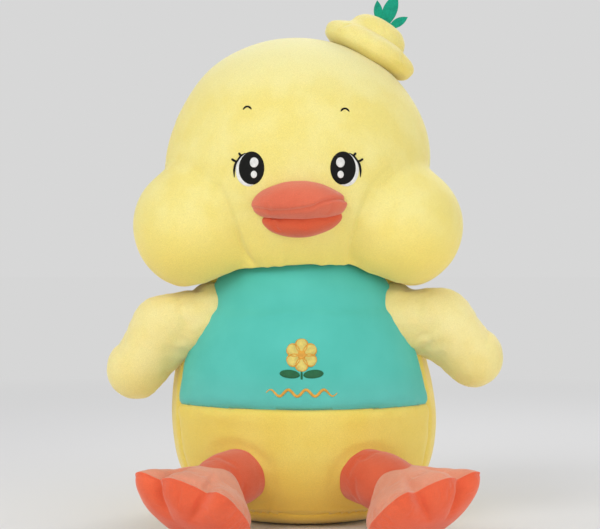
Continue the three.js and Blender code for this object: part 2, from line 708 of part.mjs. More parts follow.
const X = new THREE.Vector3(1, 0, 0);
const Y = new THREE.Vector3(0, 1, 0);
const Z = new THREE.Vector3(0, 0, 1);

// A form cut by its neighbour in each pose, except inside the socket that its root turns in
function carved(form, neighbour, poses, socket) {
  const swept = join(...poses.map((pose) => placed(neighbour, pose)));
  return form.subtract(swept.subtract(socket));
}

function wingBody(side, grow, quality) {
  const root = shoulder(side);
  const corners = WING_SWING.flatMap((swing) => WING_FLAP[side].map((flap) => (
    [[Z, swing], [Y, -signOf[side] * flap]])));
  const torso = torsoForm(CLEAR + 2 * ROOM - grow, quality);
  const socket = ball(root, SHOULDER_SOCKET_R - CLEAR + grow, ROOT_DETAIL);
  const cheek = cheekForm(side, CHEEK_ROOM - grow, quality);
  return carved(wingForm(side, grow, quality), torso, limbPoses(root, corners), socket).subtract(cheek);
}

function buildWings() {
  for (const side of Object.keys(signOf)) {
    const root = shoulder(side);
    const shell = wingBody(side, 0, 'fine').subtract(wingBody(side, UNDER, 'coarse'));
    const y = root.y;
    piece(`wing_${side}_front_panel`, shell.subtract(half('y', y - SLIT, 1)), 'yellow');
    piece(`wing_${side}_back_panel`, shell.subtract(half('y', y + SLIT, -1)), 'yellow');
    piece(`wing_${side}_stuffing`, wingBody(side, FILL, 'coarse'), 'fill');
    const inward = new THREE.Vector3(signOf[side], 0, 0);
    piece(`shoulder_${side}_seam_tape`,
      seamTape(root, SHOULDER_R, TAPE, inward, SHOULDER_TAPE_BAND, 16, 2), 'fill');
  }
}

// Foot frame: x across to the duck's left, y towards the toes, z out of the top of the foot
function footFrame(side) {
  const mirror = signOf[side];
  const turn = new THREE.Matrix4().makeRotationZ(mirror * radians(FOOT_SPLAY[side]))
    .multiply(new THREE.Matrix4().makeRotationX(radians(180)))
    .multiply(new THREE.Matrix4().makeRotationY(radians(180)))
    .multiply(new THREE.Matrix4().makeRotationX(radians(FOOT_TILT)))
    .multiply(new THREE.Matrix4().makeRotationY(mirror * radians(FOOT_ROLL)));
  return turn;
}

const FOOT_POINTS = { fine: 26, coarse: 16 };
const FOOT_RINGS = { fine: 3, coarse: 2 };

function footForm(side, grow, quality, matrix) {
  const knots = footOutShares.map((share, i) => new THREE.Vector3(
    share * FOOT_HALF_WIDTH, footLengthShares[i] * FOOT_HALF_LENGTH, 0));
  const rim = new THREE.CatmullRomCurve3(knots, true).getPoints(FOOT_POINTS[quality]).slice(0, -1);
  const rings = FOOT_RINGS[quality];
  const places = [];
  const place = (p, u, face) => {
    const size = 1 + grow / FOOT_HALF_WIDTH;
    const toe = THREE.MathUtils.smoothstep(u * p.y, -FOOT_HALF_LENGTH, FOOT_HALF_LENGTH);
    const share = THREE.MathUtils.lerp(FOOT_HEEL_SHARE, FOOT_TOE_SHARE, toe);
    const height = (face > 0 ? FOOT_TOP : FOOT_SOLE) * share + grow;
    const crown = Math.sqrt(Math.max(1 - u ** FOOT_CURVE_POWER, 0));
    return new THREE.Vector3(p.x * u * size, p.y * u * size, face * height * crown).applyMatrix4(matrix);
  };
  for (const face of [1, -1]) {
    for (let i = 0; i < rings; i++) {
      const [near, far] = [i / rings, (i + 1) / rings].map((share) => Math.sin(share * Math.PI / 2));
      rim.forEach((p, k) => {
        const q = rim[(k + 1) % rim.length];
        const [a, b] = [place(p, near, face), place(q, near, face)];
        const [c, d] = [place(q, far, face), place(p, far, face)];
        const order = face > 0 ? [a, d, c, a, c, b] : [a, c, d, a, b, c];
        for (const corner of order) places.push(...corner.toArray());
      });
    }
  }
  const geometry = new THREE.BufferGeometry();
  geometry.setAttribute('position', new THREE.Float32BufferAttribute(places, 3));
  return solid(geometry);
}

// The foot stands on its heel: it is lowered until the floor flattens it
function footMatrix(side) {
  const turn = footFrame(side);
  const low = footForm(side, 0, 'fine', turn).boundingBox().min[2];
  const centre = new THREE.Vector3(signOf[side] * FOOT_OUT[side], -FOOT_FORWARD, -low - REST_CUT);
  return turn.clone().premultiply(new THREE.Matrix4().makeTranslation(centre));
}

const footMatrices = { right: footMatrix('right'), left: footMatrix('left') };
const ankle = (side) => new THREE.Vector3(0, -ANKLE_BELOW, ANKLE_BEHIND).applyMatrix4(footMatrices[side]);

function legForm(side, grow, quality) {
  const root = hip(side);
  const line = ankle(side).sub(root);
  const turn = new THREE.Quaternion().setFromUnitVectors(Z, line.clone().normalize());
  return limb(HIP_R, LEG_MID_R, ANKLE_R, line.length(), grow, quality,
    (p) => p.applyQuaternion(turn).add(root));
}

function legBody(side, grow, quality) {
  const root = hip(side);
  const poses = limbPoses(root, LEG_RAISE.map((angle) => [[X, -angle]]));
  const torso = torsoForm(CLEAR + ROOM - grow, quality);
  const socket = ball(root, HIP_SOCKET_R - CLEAR + grow, ROOT_DETAIL);
  return carved(legForm(side, grow, quality), torso, poses, socket);
}

function footBody(side, grow, quality) {
  const centre = ankle(side);
  const form = footForm(side, grow, quality, footMatrices[side]);
  const socket = ball(centre, ANKLE_R + ANKLE_ROOM - grow, ROOT_DETAIL, true);
  const poses = limbPoses(centre, FOOT_FLEX.map((angle) => [[X, angle]]));
  const leg = legForm(side, CLEAR + 2 * ROOM - grow, quality);
  const legs = poses.map((pose) => placed(leg, pose));
  return without(form, join(socket, ...legs), half('z', Math.max(-grow, 0), -1));
}

function buildLegs() {
  for (const side of Object.keys(signOf)) {
    const root = hip(side);
    const end = ankle(side);
    const line = end.clone().sub(root);
    const turn = new THREE.Quaternion().setFromUnitVectors(Z, line.clone().normalize());
    const bore = turned([[0, -REACH], [LEG_BORE_R, -REACH], [LEG_BORE_R, REACH], [0, REACH]], 8,
      (p) => p.applyQuaternion(turn).add(root));
    const cover = without(legBody(side, 0, 'fine'), legBody(side, UNDER, 'coarse'), bore);
    piece(`leg_${side}_cover`, cover, 'coral');
    piece(`leg_${side}_stuffing`, legBody(side, FILL, 'coarse'), 'fill');
    const shell = footBody(side, 0, 'fine').subtract(footBody(side, UNDER, 'coarse'));
    const top = new THREE.BoxGeometry(2 * REACH, 2 * REACH, 2 * REACH);
    const upper = solid(top.clone().translate(0, 0, REACH + SLIT).applyMatrix4(footMatrices[side]));
    const lower = solid(top.clone().translate(0, 0, -REACH - SLIT).applyMatrix4(footMatrices[side]));
    piece(`foot_${side}_top_panel`, shell.intersect(upper), 'coral');
    piece(`foot_${side}_sole_panel`, shell.intersect(lower), 'coral');
    piece(`foot_${side}_stuffing`, footBody(side, FILL, 'coarse'), 'fill');
  }
}

buildTorso();
buildChest();
piece('neck_seam_tape', seamTape(NECK, NECK_R, NECK_TAPE, Z, NECK_TAPE_BAND, 32, 1), 'fill');
buildHead();
buildEyes();
buildBeak();
buildBun();
buildLeaf();
buildWings();
buildLegs();

const duck = new THREE.Group();
for (const mesh of nodes) duck.add(mesh);

export default duck;
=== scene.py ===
# Looks of a seated plush duck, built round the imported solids.
# Sizes are in millimetres and are turned into metres where a mesh is made.
import math

import bmesh
import bpy
import numpy as np
from mathutils import Matrix, Vector, noise
from mathutils.bvhtree import BVHTree


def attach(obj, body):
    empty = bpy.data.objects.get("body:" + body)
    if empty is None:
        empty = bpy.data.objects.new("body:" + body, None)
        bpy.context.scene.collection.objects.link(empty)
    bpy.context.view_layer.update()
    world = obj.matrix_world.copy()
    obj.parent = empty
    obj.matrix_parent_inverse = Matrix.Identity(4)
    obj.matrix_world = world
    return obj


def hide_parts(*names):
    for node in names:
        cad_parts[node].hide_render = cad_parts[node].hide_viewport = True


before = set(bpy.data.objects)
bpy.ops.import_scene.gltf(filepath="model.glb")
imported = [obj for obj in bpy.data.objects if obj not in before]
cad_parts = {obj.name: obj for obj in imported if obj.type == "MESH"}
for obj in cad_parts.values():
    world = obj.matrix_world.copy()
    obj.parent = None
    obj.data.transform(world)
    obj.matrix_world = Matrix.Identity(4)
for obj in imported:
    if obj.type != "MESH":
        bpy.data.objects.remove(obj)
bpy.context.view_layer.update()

MM = 0.001
SIDES = {"right": -1, "left": 1}

# Torso, as in the solids
TORSO_HALF_WIDTH = 131
TORSO_HALF_DEPTH = 118
NECK = np.array([0.0, 0.0, 185.0])
NECK_R = 107
NECK_JOIN = 30
NECK_SOCKET_R = 110.1
HEM_Z = 115
SEAT_Z = 14
SIDE_SEAM_Y = -44
BELLY_SHIFT = 3             # the belly hangs a little to one side of the chest
PEAR_HEIGHTS = [-0.003, 0, 0.022, 0.065, 0.173, 0.314, 0.503, 0.665, 0.811, 0.962, 1.075]
PEAR_WIDTHS = [0, 0.47, 0.61, 0.72, 0.866, 0.962, 1, 0.989, 0.954, 0.897, 0.832]

# Head
SKULL = np.array([-4.0, -15.0, 349.0])
SKULL_HALVES = np.array([131.8, 114.0, 124.2])
JOWL_HEIGHT = 134           # half height of the skull's lower half
JOWL_POWER = 2.3            # roundness of the skull's lower half, 2 for a ball
CHEEK_OUTER = np.array([62.2, 67.0, 62.2])      # half sizes away from the face
CHEEK_INNER = np.array([88.0, 67.0, 62.2])      # half sizes towards the beak
CHEEK_OUT = {"right": 97.5, "left": 98.2}
CHEEK_AHEAD = 30
CHEEK_BELOW = 60.6
HEAD_SEAM_Y = 18
# The folds between the cheeks and the chin, as [x, z] knots from the neck upwards
FOLDS = [[[-40, 240], [-44, 248], [-54, 261], [-60, 277], [-68, 302], [-76, 322]],
         [[44, 240], [45, 252], [48, 273], [56, 301], [69, 328], [88, 345]]]
TEMPLE_DIP = 4              # the head is a little flatter on its right, above the cheek

# Wings
SHOULDER_R = 29
SHOULDER = {side: np.array([sign * 85.0, -33.0, 200.0]) for side, sign in SIDES.items()}
WING_ROOT_R = 34            # the sewn end stands a little proud of the ball inside it
WING_LENGTH = 91
WING_BOW = 14               # rise of the wing's middle above the line from root to tip
WING_BOW_SPAN = 1.1         # share of the wing that the bow spans
WING_MID_R = 36
WING_TIP_R = 30
WING_FLATNESS = 0.82
WING_DROOP = {"right": 34, "left": 26}
WING_SWEEP = 6
CHEEK_ROOM = 4              # room between a wing and the cheek above it

# Legs and feet
HIP_R = 26
HIP = {side: np.array([sign * 55.0, -88.0, 52.0]) for side, sign in SIDES.items()}
LEG_MID_R = 27
ANKLE_R = 23
ANKLE = {"right": np.array([-87.15, -158.01, 45.68]), "left": np.array([97.15, -158.89, 45.68])}
FOOT_HALF_WIDTH = 51
FOOT_HALF_LENGTH = 47
FOOT_SOLE = 24
FOOT_SPLAY = {"right": 22, "left": 28}      # degrees that each foot turns out
FOOT_TILT = 36              # degrees of the toes above the floor
FOOT_ROLL = 12
ANKLE_BEHIND = 17           # ankle behind the middle of the foot's thickness
ANKLE_BELOW = 3             # ankle nearer the heel than the foot's middle
# The rim of a foot from its heel round the outer toe and back, in shares of its half sizes
FOOT_OUTS = [0, 0.3, 0.62, 0.88, 1.03, 0.97, 0.76, 0.52, 0.42, 0.3, 0.03, -0.33, -0.54, -0.62,
             -0.78, -0.97, -1.06, -0.96, -0.68, -0.32]
FOOT_LENGTHS = [-1, -0.97, -0.8, -0.45, 0.2, 0.7, 0.87, 0.8, 0.73, 0.87, 0.99, 0.92, 0.75, 0.83,
                0.94, 0.76, 0.2, -0.45, -0.8, -0.97]
FOOT_SHIFT = {"right": 0.01, "left": 0.03}    # how far each foot sits out from its ankle, in half widths
TOE_HIGH = 15               # height of the foot's top above its rim at the toes
INSTEP_HIGH = 47            # and at its highest
INSTEP = [-2, -14]          # where the top is highest, out and forward of the foot's middle
INSTEP_SPREAD = [39, 38]

# How far the stuffing swells each skin, and the most that a point of it moves
SWELL = {"torso": (1.8, 3.0), "head": (3.6, 4.0), "wing": (1.1, 2.2), "leg": (0.3, 0.8), "foot": (1.4, 3.0),
         "beak": (0.4, 1.2), "bun": (1.1, 2.2)}


# Colours are written as the sRGB values that a screen shows
def linear(rgb):
    return [c / 12.92 if c <= 0.04045 else ((c + 0.055) / 1.055) ** 2.4 for c in (v / 255 for v in rgb)]


def rgba(rgb):
    return (*linear(rgb), 1)


class Nodes:
    """A material's node tree, with short calls to add and join nodes."""

    def __init__(self, name):
        self.material = bpy.data.materials.new(name)
        self.material.use_nodes = True
        self.tree = self.material.node_tree
        self.shader = self.tree.nodes["Principled BSDF"]
        self.place = self.add("ShaderNodeTexCoord").outputs["Object"]

    def add(self, kind, **inputs):
        node = self.tree.nodes.new(kind)
        for name, value in inputs.items():
            self.put(node, name.replace("_", " "), value)
        return node

    def put(self, node, name, value):
        if isinstance(value, bpy.types.NodeSocket):
            self.tree.links.new(value, node.inputs[name])
        else:
            node.inputs[name].default_value = value

    def noise(self, scale, detail=2.0, rough=0.5):
        node = self.add("ShaderNodeTexNoise", Scale=scale, Detail=detail, Roughness=rough)
        self.tree.links.new(self.place, node.inputs["Vector"])
        return node.outputs["Fac"]

    def wave(self, direction, place, **inputs):
        node = self.add("ShaderNodeTexWave", **inputs)
        node.bands_direction = direction
        self.tree.links.new(place, node.inputs["Vector"])
        return node.outputs["Fac"]

    def ramp(self, fac, low, high, colours=None):
        node = self.tree.nodes.new("ShaderNodeValToRGB")
        self.tree.links.new(fac, node.inputs["Fac"])
        node.color_ramp.elements[0].position = low
        node.color_ramp.elements[1].position = high
        if colours:
            for element, colour in zip(node.color_ramp.elements, colours):
                element.color = rgba(colour)
        return node.outputs["Color"]

    def mix(self, fac, a, b, blend="MIX"):
        node = self.tree.nodes.new("ShaderNodeMix")
        node.data_type = "RGBA"
        node.blend_type = blend
        for socket, value in ((0, fac), (6, a), (7, b)):
            if isinstance(value, bpy.types.NodeSocket):
                self.tree.links.new(value, node.inputs[socket])
            else:
                node.inputs[socket].default_value = value
        return node.outputs[2]

    def math(self, operation, a, b=0.0):
        node = self.tree.nodes.new("ShaderNodeMath")
        node.operation = operation
        for socket, value in ((0, a), (1, b)):
            if isinstance(value, bpy.types.NodeSocket):
                self.tree.links.new(value, node.inputs[socket])
            else:
                node.inputs[socket].default_value = value
        return node.outputs[0]

    def axis(self, name):
        node = self.add("ShaderNodeSeparateXYZ")
        self.tree.links.new(self.place, node.inputs["Vector"])
        return node.outputs[name]

    def bump(self, height, distance, strength=1.0, normal=None):
        node = self.add("ShaderNodeBump", Strength=strength, Distance=distance, Height=height)
        if normal:
            self.tree.links.new(normal, node.inputs["Normal"])
        return node.outputs["Normal"]

    def fade(self, cloth, low):
        """Painted light and shade by height: another colour below a height, reached over some millimetres; a
        negative reach puts the colour above the height.
        """
        below = self.math("SUBTRACT", low["top"] * MM, self.axis("Z"))
        share = self.ramp(self.math("MULTIPLY", below, 1 / (low["reach"] * MM)), 0, 1)
        return self.mix(share, cloth, rgba(low["colour"]))

    def shade(self, cloth, fac, low, high, grey):
        """The cloth darkened by a grey where fac is low."""
        return self.mix(1.0, cloth, self.ramp(fac, low, high, [(grey,) * 3, (255,) * 3]), "MULTIPLY")

    def join_far(self, seen, far, colour):
        """What the camera sees far away, in place of the shader: a plain colour."""
        glow = self.add("ShaderNodeEmission", Color=colour)
        both = self.add("ShaderNodeMixShader", Fac=self.math("MULTIPLY", seen, far))
        self.tree.links.new(self.shader.outputs["BSDF"], both.inputs[1])
        self.tree.links.new(glow.outputs["Emission"], both.inputs[2])
        self.tree.links.new(both.outputs["Shader"], self.tree.nodes["Material Output"].inputs["Surface"])

    def finish(self, colour, normal, **values):
        self.put(self.shader, "Base Color", colour)
        self.tree.links.new(normal, self.shader.inputs["Normal"])
        for name, value in values.items():
            self.put(self.shader, name.replace("_", " "), value)
        return self.material


# Short pile: fine fibres, a nap that was stroked here and there, and a pale sheen on the turned edges
def plush(name, colour, deep, painted_tones_by_height=()):
    n = Nodes(name)
    nap = n.ramp(n.noise(26, 3, 0.55), 0.38, 0.66)
    fibre = n.noise(1500, 3, 0.7)
    cloth = n.mix(nap, rgba(deep), rgba(colour))
    # Painted shading by height: a deeper tone low down where shade falls, a paler one high up where the light
    # falls.
    for low in painted_tones_by_height:
        cloth = n.fade(cloth, low)
    cloth = n.shade(cloth, fibre, 0.3, 0.75, 226)
    folds = n.bump(n.noise(62, 2, 0.5), 0.0009, 0.35)
    tufts = n.bump(n.noise(420, 3, 0.6), 0.00035, 0.5, folds)
    normal = n.bump(fibre, 0.0004, 0.6, tufts)
    return n.finish(cloth, normal, Roughness=0.88, Specular_IOR_Level=0.18, Sheen_Weight=0.32,
                    Sheen_Roughness=0.45, Sheen_Tint=(1.0, 0.98, 0.93, 1), Subsurface_Weight=0.06,
                    Subsurface_Scale=0.006)


# Fine stretch knit: close wales up the shirt, with courses across them
def knit(name, colour, deep, low):
    n = Nodes(name)
    wales = n.wave("X", n.place, Scale=420, Distortion=1.2, Detail=1.5, Detail_Scale=0.6)
    courses = n.wave("Z", n.place, Scale=560, Distortion=1.5, Detail=1.5, Detail_Scale=0.6)
    weave = n.math("MULTIPLY", wales, courses)
    nap = n.ramp(n.noise(18, 3, 0.55), 0.36, 0.68)
    # Painted shading: the knit turns to another tone below a height.
    cloth = n.fade(n.mix(nap, rgba(deep), rgba(colour)), low)
    cloth = n.shade(cloth, weave, 0.0, 0.8, 232)
    folds = n.bump(n.noise(45, 2, 0.5), 0.0009, 0.35)
    normal = n.bump(weave, 0.0002, 0.5, folds)
    return n.finish(cloth, normal, Roughness=0.74, Specular_IOR_Level=0.25, Sheen_Weight=0.25,
                    Sheen_Roughness=0.4, Sheen_Tint=(0.9, 1.0, 0.98, 1))


# Satin stitch: shiny threads side by side, at an angle of their own
THREADS = 2100              # to a metre


def floss(name, colour, deep, angle, shine=0.4):
    n = Nodes(name)
    turn = n.add("ShaderNodeMapping", Rotation=(0, math.radians(angle), 0))
    n.tree.links.new(n.place, turn.inputs["Vector"])
    strand = n.wave("X", turn.outputs["Vector"], Scale=THREADS / 6.283, Distortion=0.6, Detail=2,
                    Detail_Scale=1.5)
    cloth = n.mix(n.ramp(strand, 0.1, 0.7), rgba(deep), rgba(colour))
    cloth = n.shade(cloth, n.noise(240, 2, 0.5), 0.3, 0.7, 225)
    normal = n.bump(strand, 0.0003, 0.7)
    return n.finish(cloth, normal, Roughness=0.46, Specular_IOR_Level=shine)


# Felt: matted fibres in every direction
def felt(name, colour, deep):
    n = Nodes(name)
    fibre = n.noise(900, 5, 0.75)
    clump = n.noise(160, 3, 0.6)
    cloth = n.mix(n.ramp(clump, 0.3, 0.7), rgba(deep), rgba(colour))
    cloth = n.shade(cloth, fibre, 0.3, 0.7, 205)
    normal = n.bump(fibre, 0.0005, 0.7, n.bump(clump, 0.0006, 0.5))
    return n.finish(cloth, normal, Roughness=0.95, Specular_IOR_Level=0.15, Sheen_Weight=0.3,
                    Sheen_Roughness=0.5)


looks = {
    # Painted shading on the yellow plush: a deeper gold below 300 mm, painted shade under the beak and on the
    # lower cheeks, and a paler tone above 400 mm, painted light on the top of the head.
    "yellow": plush("yellow_plush", (247, 234, 150), (244, 227, 132),
                    [{"top": 300, "reach": 46, "colour": (252, 230, 122)},
                     {"top": 400, "reach": -80, "colour": (246, 241, 182)}]),
    # The belly: a deeper, more golden copy of the yellow plush, deeper still below 70 mm: painted shade and
    # warm bounce light.
    "belly": plush("belly_plush_painted_shade", (247, 222, 114), (244, 216, 102),
                   [{"top": 70, "reach": 55, "colour": (254, 212, 90)}]),
    # The wings: a paler copy of the yellow plush, painted light, turning deeper below 180 mm, painted shade
    # on their undersides.
    "wing": plush("wing_plush_painted_shading", (248, 235, 166), (245, 228, 150),
                  [{"top": 180, "reach": 90, "colour": (246, 226, 134)}]),
    # The bun: a paler copy of the yellow plush, painted light, turning deeper below 470 mm, painted shade on
    # its lower roll.
    "bun": plush("bun_plush_painted_shading", (248, 236, 160), (245, 229, 138),
                 [{"top": 470, "reach": 40, "colour": (247, 222, 112)}]),
    # The shirt's knit turns to another, greyer tone below 150 mm: painted shading towards the hem.
    "mint": knit("mint_knit", (92, 206, 192), (84, 198, 183),
                 {"top": 150, "reach": 60, "colour": (106, 198, 188)}),
    "coral": plush("coral_plush", (232, 118, 89), (225, 109, 81)),
    "coral_foot": plush("coral_foot_plush", (246, 110, 72), (238, 101, 64)),
    # A darker copy of the coral plush: painted shade, for the legs under the body and the lower lobe of the
    # beak.
    "coral_shaded": plush("coral_deep_plush", (230, 102, 66), (222, 93, 58)),
    # A paler copy of the coral plush: painted light, for the tops of the feet, which face up.
    "coral_lit": plush("coral_pale_plush", (238, 158, 128), (230, 146, 116)),
    "teal": felt("teal_felt", (24, 172, 140), (16, 152, 124)),
    "black": floss("black_floss", (20, 20, 18), (7, 7, 6), 12, shine=0.15),
    "white": floss("white_floss", (248, 248, 244), (228, 228, 226), 40),
    "gold": floss("gold_floss", (236, 222, 124), (218, 194, 96), 60),
    "orange": floss("orange_floss", (242, 182, 70), (224, 154, 52), 20),
    "green": floss("green_floss", (26, 116, 68), (14, 88, 50), 35),
}


# Meshes
def quad_ball(n):
    """A unit ball of even four-sided faces, n to each edge of the cube that it was blown up from."""
    t = np.tan(np.linspace(-1, 1, n + 1) * math.pi / 4)
    u, v = np.meshgrid(t, t, indexing="ij")
    w = np.ones_like(u)
    points, faces = [], []
    for k, (x, y, z) in enumerate([(w, u, v), (-w, v, u), (v, w, u), (u, -w, v), (u, v, w), (v, u, -w)]):
        points.append(np.stack([x, y, z], -1).reshape(-1, 3))
        i, j = np.meshgrid(np.arange(n), np.arange(n), indexing="ij")
        a = (k * (n + 1) + i) * (n + 1) + j
        faces.append(np.stack([a, a + n + 1, a + n + 2, a + 1], -1).reshape(-1, 4))
    points = np.concatenate(points)
    points /= np.linalg.norm(points, axis=1, keepdims=True)
    _, first, owner = np.unique(np.round(points, 6), axis=0, return_index=True, return_inverse=True)
    return points[first], owner.reshape(-1)[np.concatenate(faces)]


def catmull(knots, count, closed=False):
    """Points evenly spread over the knots of a Catmull-Rom curve."""
    knots = np.array(knots, float)
    if closed:
        ring = np.concatenate([knots[-1:], knots, knots[:2]])
        spans = len(knots)
    else:
        ring = np.concatenate([knots[:1], knots, knots[-1:]])
        spans = len(knots) - 1
    at = np.linspace(0, spans, count + 1)
    i = np.minimum(at.astype(int), spans - 1)
    t = (at - i)[:, None]
    p0, p1, p2, p3 = (ring[i + k] for k in range(4))
    v0, v1 = (p2 - p0) / 2, (p3 - p1) / 2
    return ((2 * p1 - 2 * p2 + v0 + v1) * t ** 3 + (-3 * p1 + 3 * p2 - 2 * v0 - v1) * t ** 2 + v0 * t + p1)


def arc(r, height, start, end, count):
    angle = np.radians(np.linspace(start, end, count + 1))
    return np.stack([r * np.cos(angle), height + r * np.sin(angle)], -1)


def smoothstep(x, low, high):
    t = np.clip((x - low) / (high - low), 0, 1)
    return t * t * (3 - 2 * t)


def on_profile(ball, profile):
    """The ball's points moved onto a profile of [radius, height], from its foot to its top."""
    profile = np.array(profile)
    length = np.concatenate([[0], np.cumsum(np.linalg.norm(np.diff(profile, axis=0), axis=1))])
    at = (1 - np.arccos(np.clip(ball[:, 2], -1, 1)) / math.pi) * length[-1]
    r = np.interp(at, length, profile[:, 0])
    h = np.interp(at, length, profile[:, 1])
    angle = np.arctan2(ball[:, 1], ball[:, 0])
    return np.stack([r * np.cos(angle), r * np.sin(angle), h], -1)


def mesh_object(name, points, faces, look):
    mesh = bpy.data.meshes.new(name)
    mesh.from_pydata((np.asarray(points) * MM).tolist(), [], [[int(v) for v in face] for face in faces])
    mesh.polygons.foreach_set("use_smooth", [True] * len(mesh.polygons))
    mesh.materials.append(looks[look])
    obj = bpy.data.objects.new(name, mesh)
    bpy.context.scene.collection.objects.link(obj)
    return obj


def places(obj):
    flat = np.empty(3 * len(obj.data.vertices))
    obj.data.vertices.foreach_get("co", flat)
    return flat.reshape(-1, 3) / MM


def directions(obj):
    flat = np.empty(3 * len(obj.data.vertices), dtype=np.float32)
    obj.data.vertices.foreach_get("normal", flat)
    return flat.reshape(-1, 3).astype(float)


def move_to(obj, points):
    obj.data.vertices.foreach_set("co", (points * MM).ravel())
    obj.data.update()


def smoother(obj):
    """One more level of smooth faces, kept in the mesh."""
    modifier = obj.modifiers.new("smooth", "SUBSURF")
    modifier.levels = modifier.render_levels = 1
    bake(obj)


def bake(obj):
    mesh = bpy.data.meshes.new_from_object(obj.evaluated_get(bpy.context.evaluated_depsgraph_get()))
    old = obj.data
    obj.modifiers.clear()
    obj.data = mesh
    bpy.data.meshes.remove(old)
    mesh.name = obj.name


def relax(obj, share, steps):
    """Evens out the mesh where share is above 0, each point moving towards its neighbours' middle."""
    ends = np.array([edge.vertices[:] for edge in obj.data.edges])
    points = places(obj)
    amount = 0.5 * share(points)[:, None]
    count = np.bincount(ends.ravel(), minlength=len(points))[:, None]
    for _ in range(steps):
        total = np.zeros_like(points)
        np.add.at(total, ends[:, 0], points[ends[:, 1]])
        np.add.at(total, ends[:, 1], points[ends[:, 0]])
        points = points + amount * (total / count - points)
    move_to(obj, points)


PRESSURE = 60
SWELL_FRAMES = 20
SPARE = 1.15                # cloth to spare, as a share of what the swelling takes up


def inflate(obj, kind, *held):
    """The cloth filled by a simulated pressure. Each of held gives 1 where it holds the cloth, else 0.
    The skin starts smaller by the swelling, with cloth to spare, and how far it moves is capped."""
    swell, cap = SWELL[kind]
    points, out = places(obj), directions(obj)
    hold = np.clip(np.max([grip(points) for grip in held], axis=0), 0, 1)
    start = points - out * (swell * (1 - hold))[:, None]
    move_to(obj, start)
    group = obj.vertex_groups.new(name="held")
    for i in np.flatnonzero(hold > 0.01):
        group.add([int(i)], float(hold[i]), "REPLACE")
    cloth = obj.modifiers.new("cloth", "CLOTH")
    cloth.settings.vertex_group_mass = group.name
    cloth.settings.use_pressure = True
    cloth.settings.uniform_pressure_force = PRESSURE
    cloth.settings.effector_weights.gravity = 0
    cloth.settings.shrink_min = -SPARE * swell / np.linalg.norm(start - start.mean(axis=0), axis=1).mean()
    cloth.settings.mass = 0.02
    cloth.settings.quality = 3
    cloth.settings.tension_stiffness = cloth.settings.compression_stiffness = 5
    cloth.settings.shear_stiffness = 5
    cloth.point_cache.frame_start = 1
    cloth.point_cache.frame_end = SWELL_FRAMES
    for step in range(1, SWELL_FRAMES + 1):
        bpy.context.scene.frame_set(step)
    solved = obj.evaluated_get(bpy.context.evaluated_depsgraph_get()).data
    flat = np.empty(3 * len(points))
    solved.vertices.foreach_get("co", flat)
    moved = flat.reshape(-1, 3) / MM - start
    far = np.linalg.norm(moved, axis=1, keepdims=True)
    print(obj.name, f"moves {far.mean():.2f} mm on average, {far.max():.2f} at most")
    obj.modifiers.remove(cloth)
    obj.vertex_groups.clear()
    bpy.context.scene.frame_set(1)
    move_to(obj, start + moved * np.minimum(1, cap / np.maximum(far, 1e-6)))


def near_line(distance, width=5):
    """1 along a seam, fading to 0 at a few millimetres from it."""
    return np.exp(-(distance / width) ** 2)


def near_ball(centre, radius, fade):
    """Gives 1 inside a ball, fading to 0 over a few millimetres outside it."""
    return lambda p: 1 - smoothstep(np.linalg.norm(p - centre, axis=1), radius, radius + fade)


def ruffle(points, size, seed):
    """Smooth noise from -1 to 1 at each point, of a given size in millimetres."""
    shift = Vector((seed * 7.3, seed * 3.1, seed * 5.7))
    return np.array([noise.noise(Vector(p) / size + shift) for p in points])


def seam(obj, distance, depth=2.2, width=2.6, swell=0.8, spread=16, pucker=0.9, seed=1.0, where=None):
    """A sewn seam: the cloth dives in along it, and swells and puckers beside it.
    distance gives each point's distance from the seam, in millimetres."""
    points, out = places(obj), directions(obj)
    d = np.abs(distance(points))
    share = np.ones(len(points)) if where is None else where(points)
    near = d < 3 * spread
    folds = np.zeros(len(points))
    folds[near] = ruffle(points[near] * np.array([1, 1, 0.6]), 11, seed)
    dip = -depth * np.exp(-(d / width) ** 2)
    rise = swell * np.exp(-((d - spread * 0.45) / (spread * 0.5)) ** 2)
    puckers = pucker * folds * np.exp(-(d / spread) ** 2) * (1 - np.exp(-(d / width) ** 2) * 0.5)
    move_to(obj, points + out * ((dip + rise + puckers) * share)[:, None])


def crumple(obj, size, high, seed, stretch=(1, 1, 1)):
    """Uneven stuffing: smooth bumps of a given size and height over the whole skin."""
    points, out = places(obj), directions(obj)
    move_to(obj, points + out * (ruffle(points * np.array(stretch), size, seed) * high)[:, None])


def rest_on_floor(obj):
    points = places(obj)
    points[:, 2] = np.maximum(points[:, 2], 0.0)
    move_to(obj, points)


def finish_piece(obj, body, nodes, slot):
    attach(obj, body)
    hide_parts(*nodes)


PANEL_THICK = 1.4


def split(obj, sides, panel_looks):
    """The obj cut along planes into panels, each a closed layer of cloth. sides gives each face's panel."""
    centres = np.array([p.center for p in obj.data.polygons]) / MM
    owner = sides(centres)
    panels = []
    for k, (name, look) in enumerate(panel_looks.items()):
        panel = obj.copy()
        panel.data = obj.data.copy()
        panel.name = panel.data.name = name
        bpy.context.scene.collection.objects.link(panel)
        bm = bmesh.new()
        bm.from_mesh(panel.data)
        bm.faces.ensure_lookup_table()
        bmesh.ops.delete(bm, geom=[bm.faces[i] for i in np.flatnonzero(owner != k)], context="FACES")
        bm.to_mesh(panel.data)
        bm.free()
        panel.data.materials.clear()
        panel.data.materials.append(looks[look])
        layer = panel.modifiers.new("cloth", "SOLIDIFY")
        layer.thickness = PANEL_THICK * MM
        layer.offset = -1
        bake(panel)
        panels.append(panel)
    bpy.data.objects.remove(obj)
    return panels


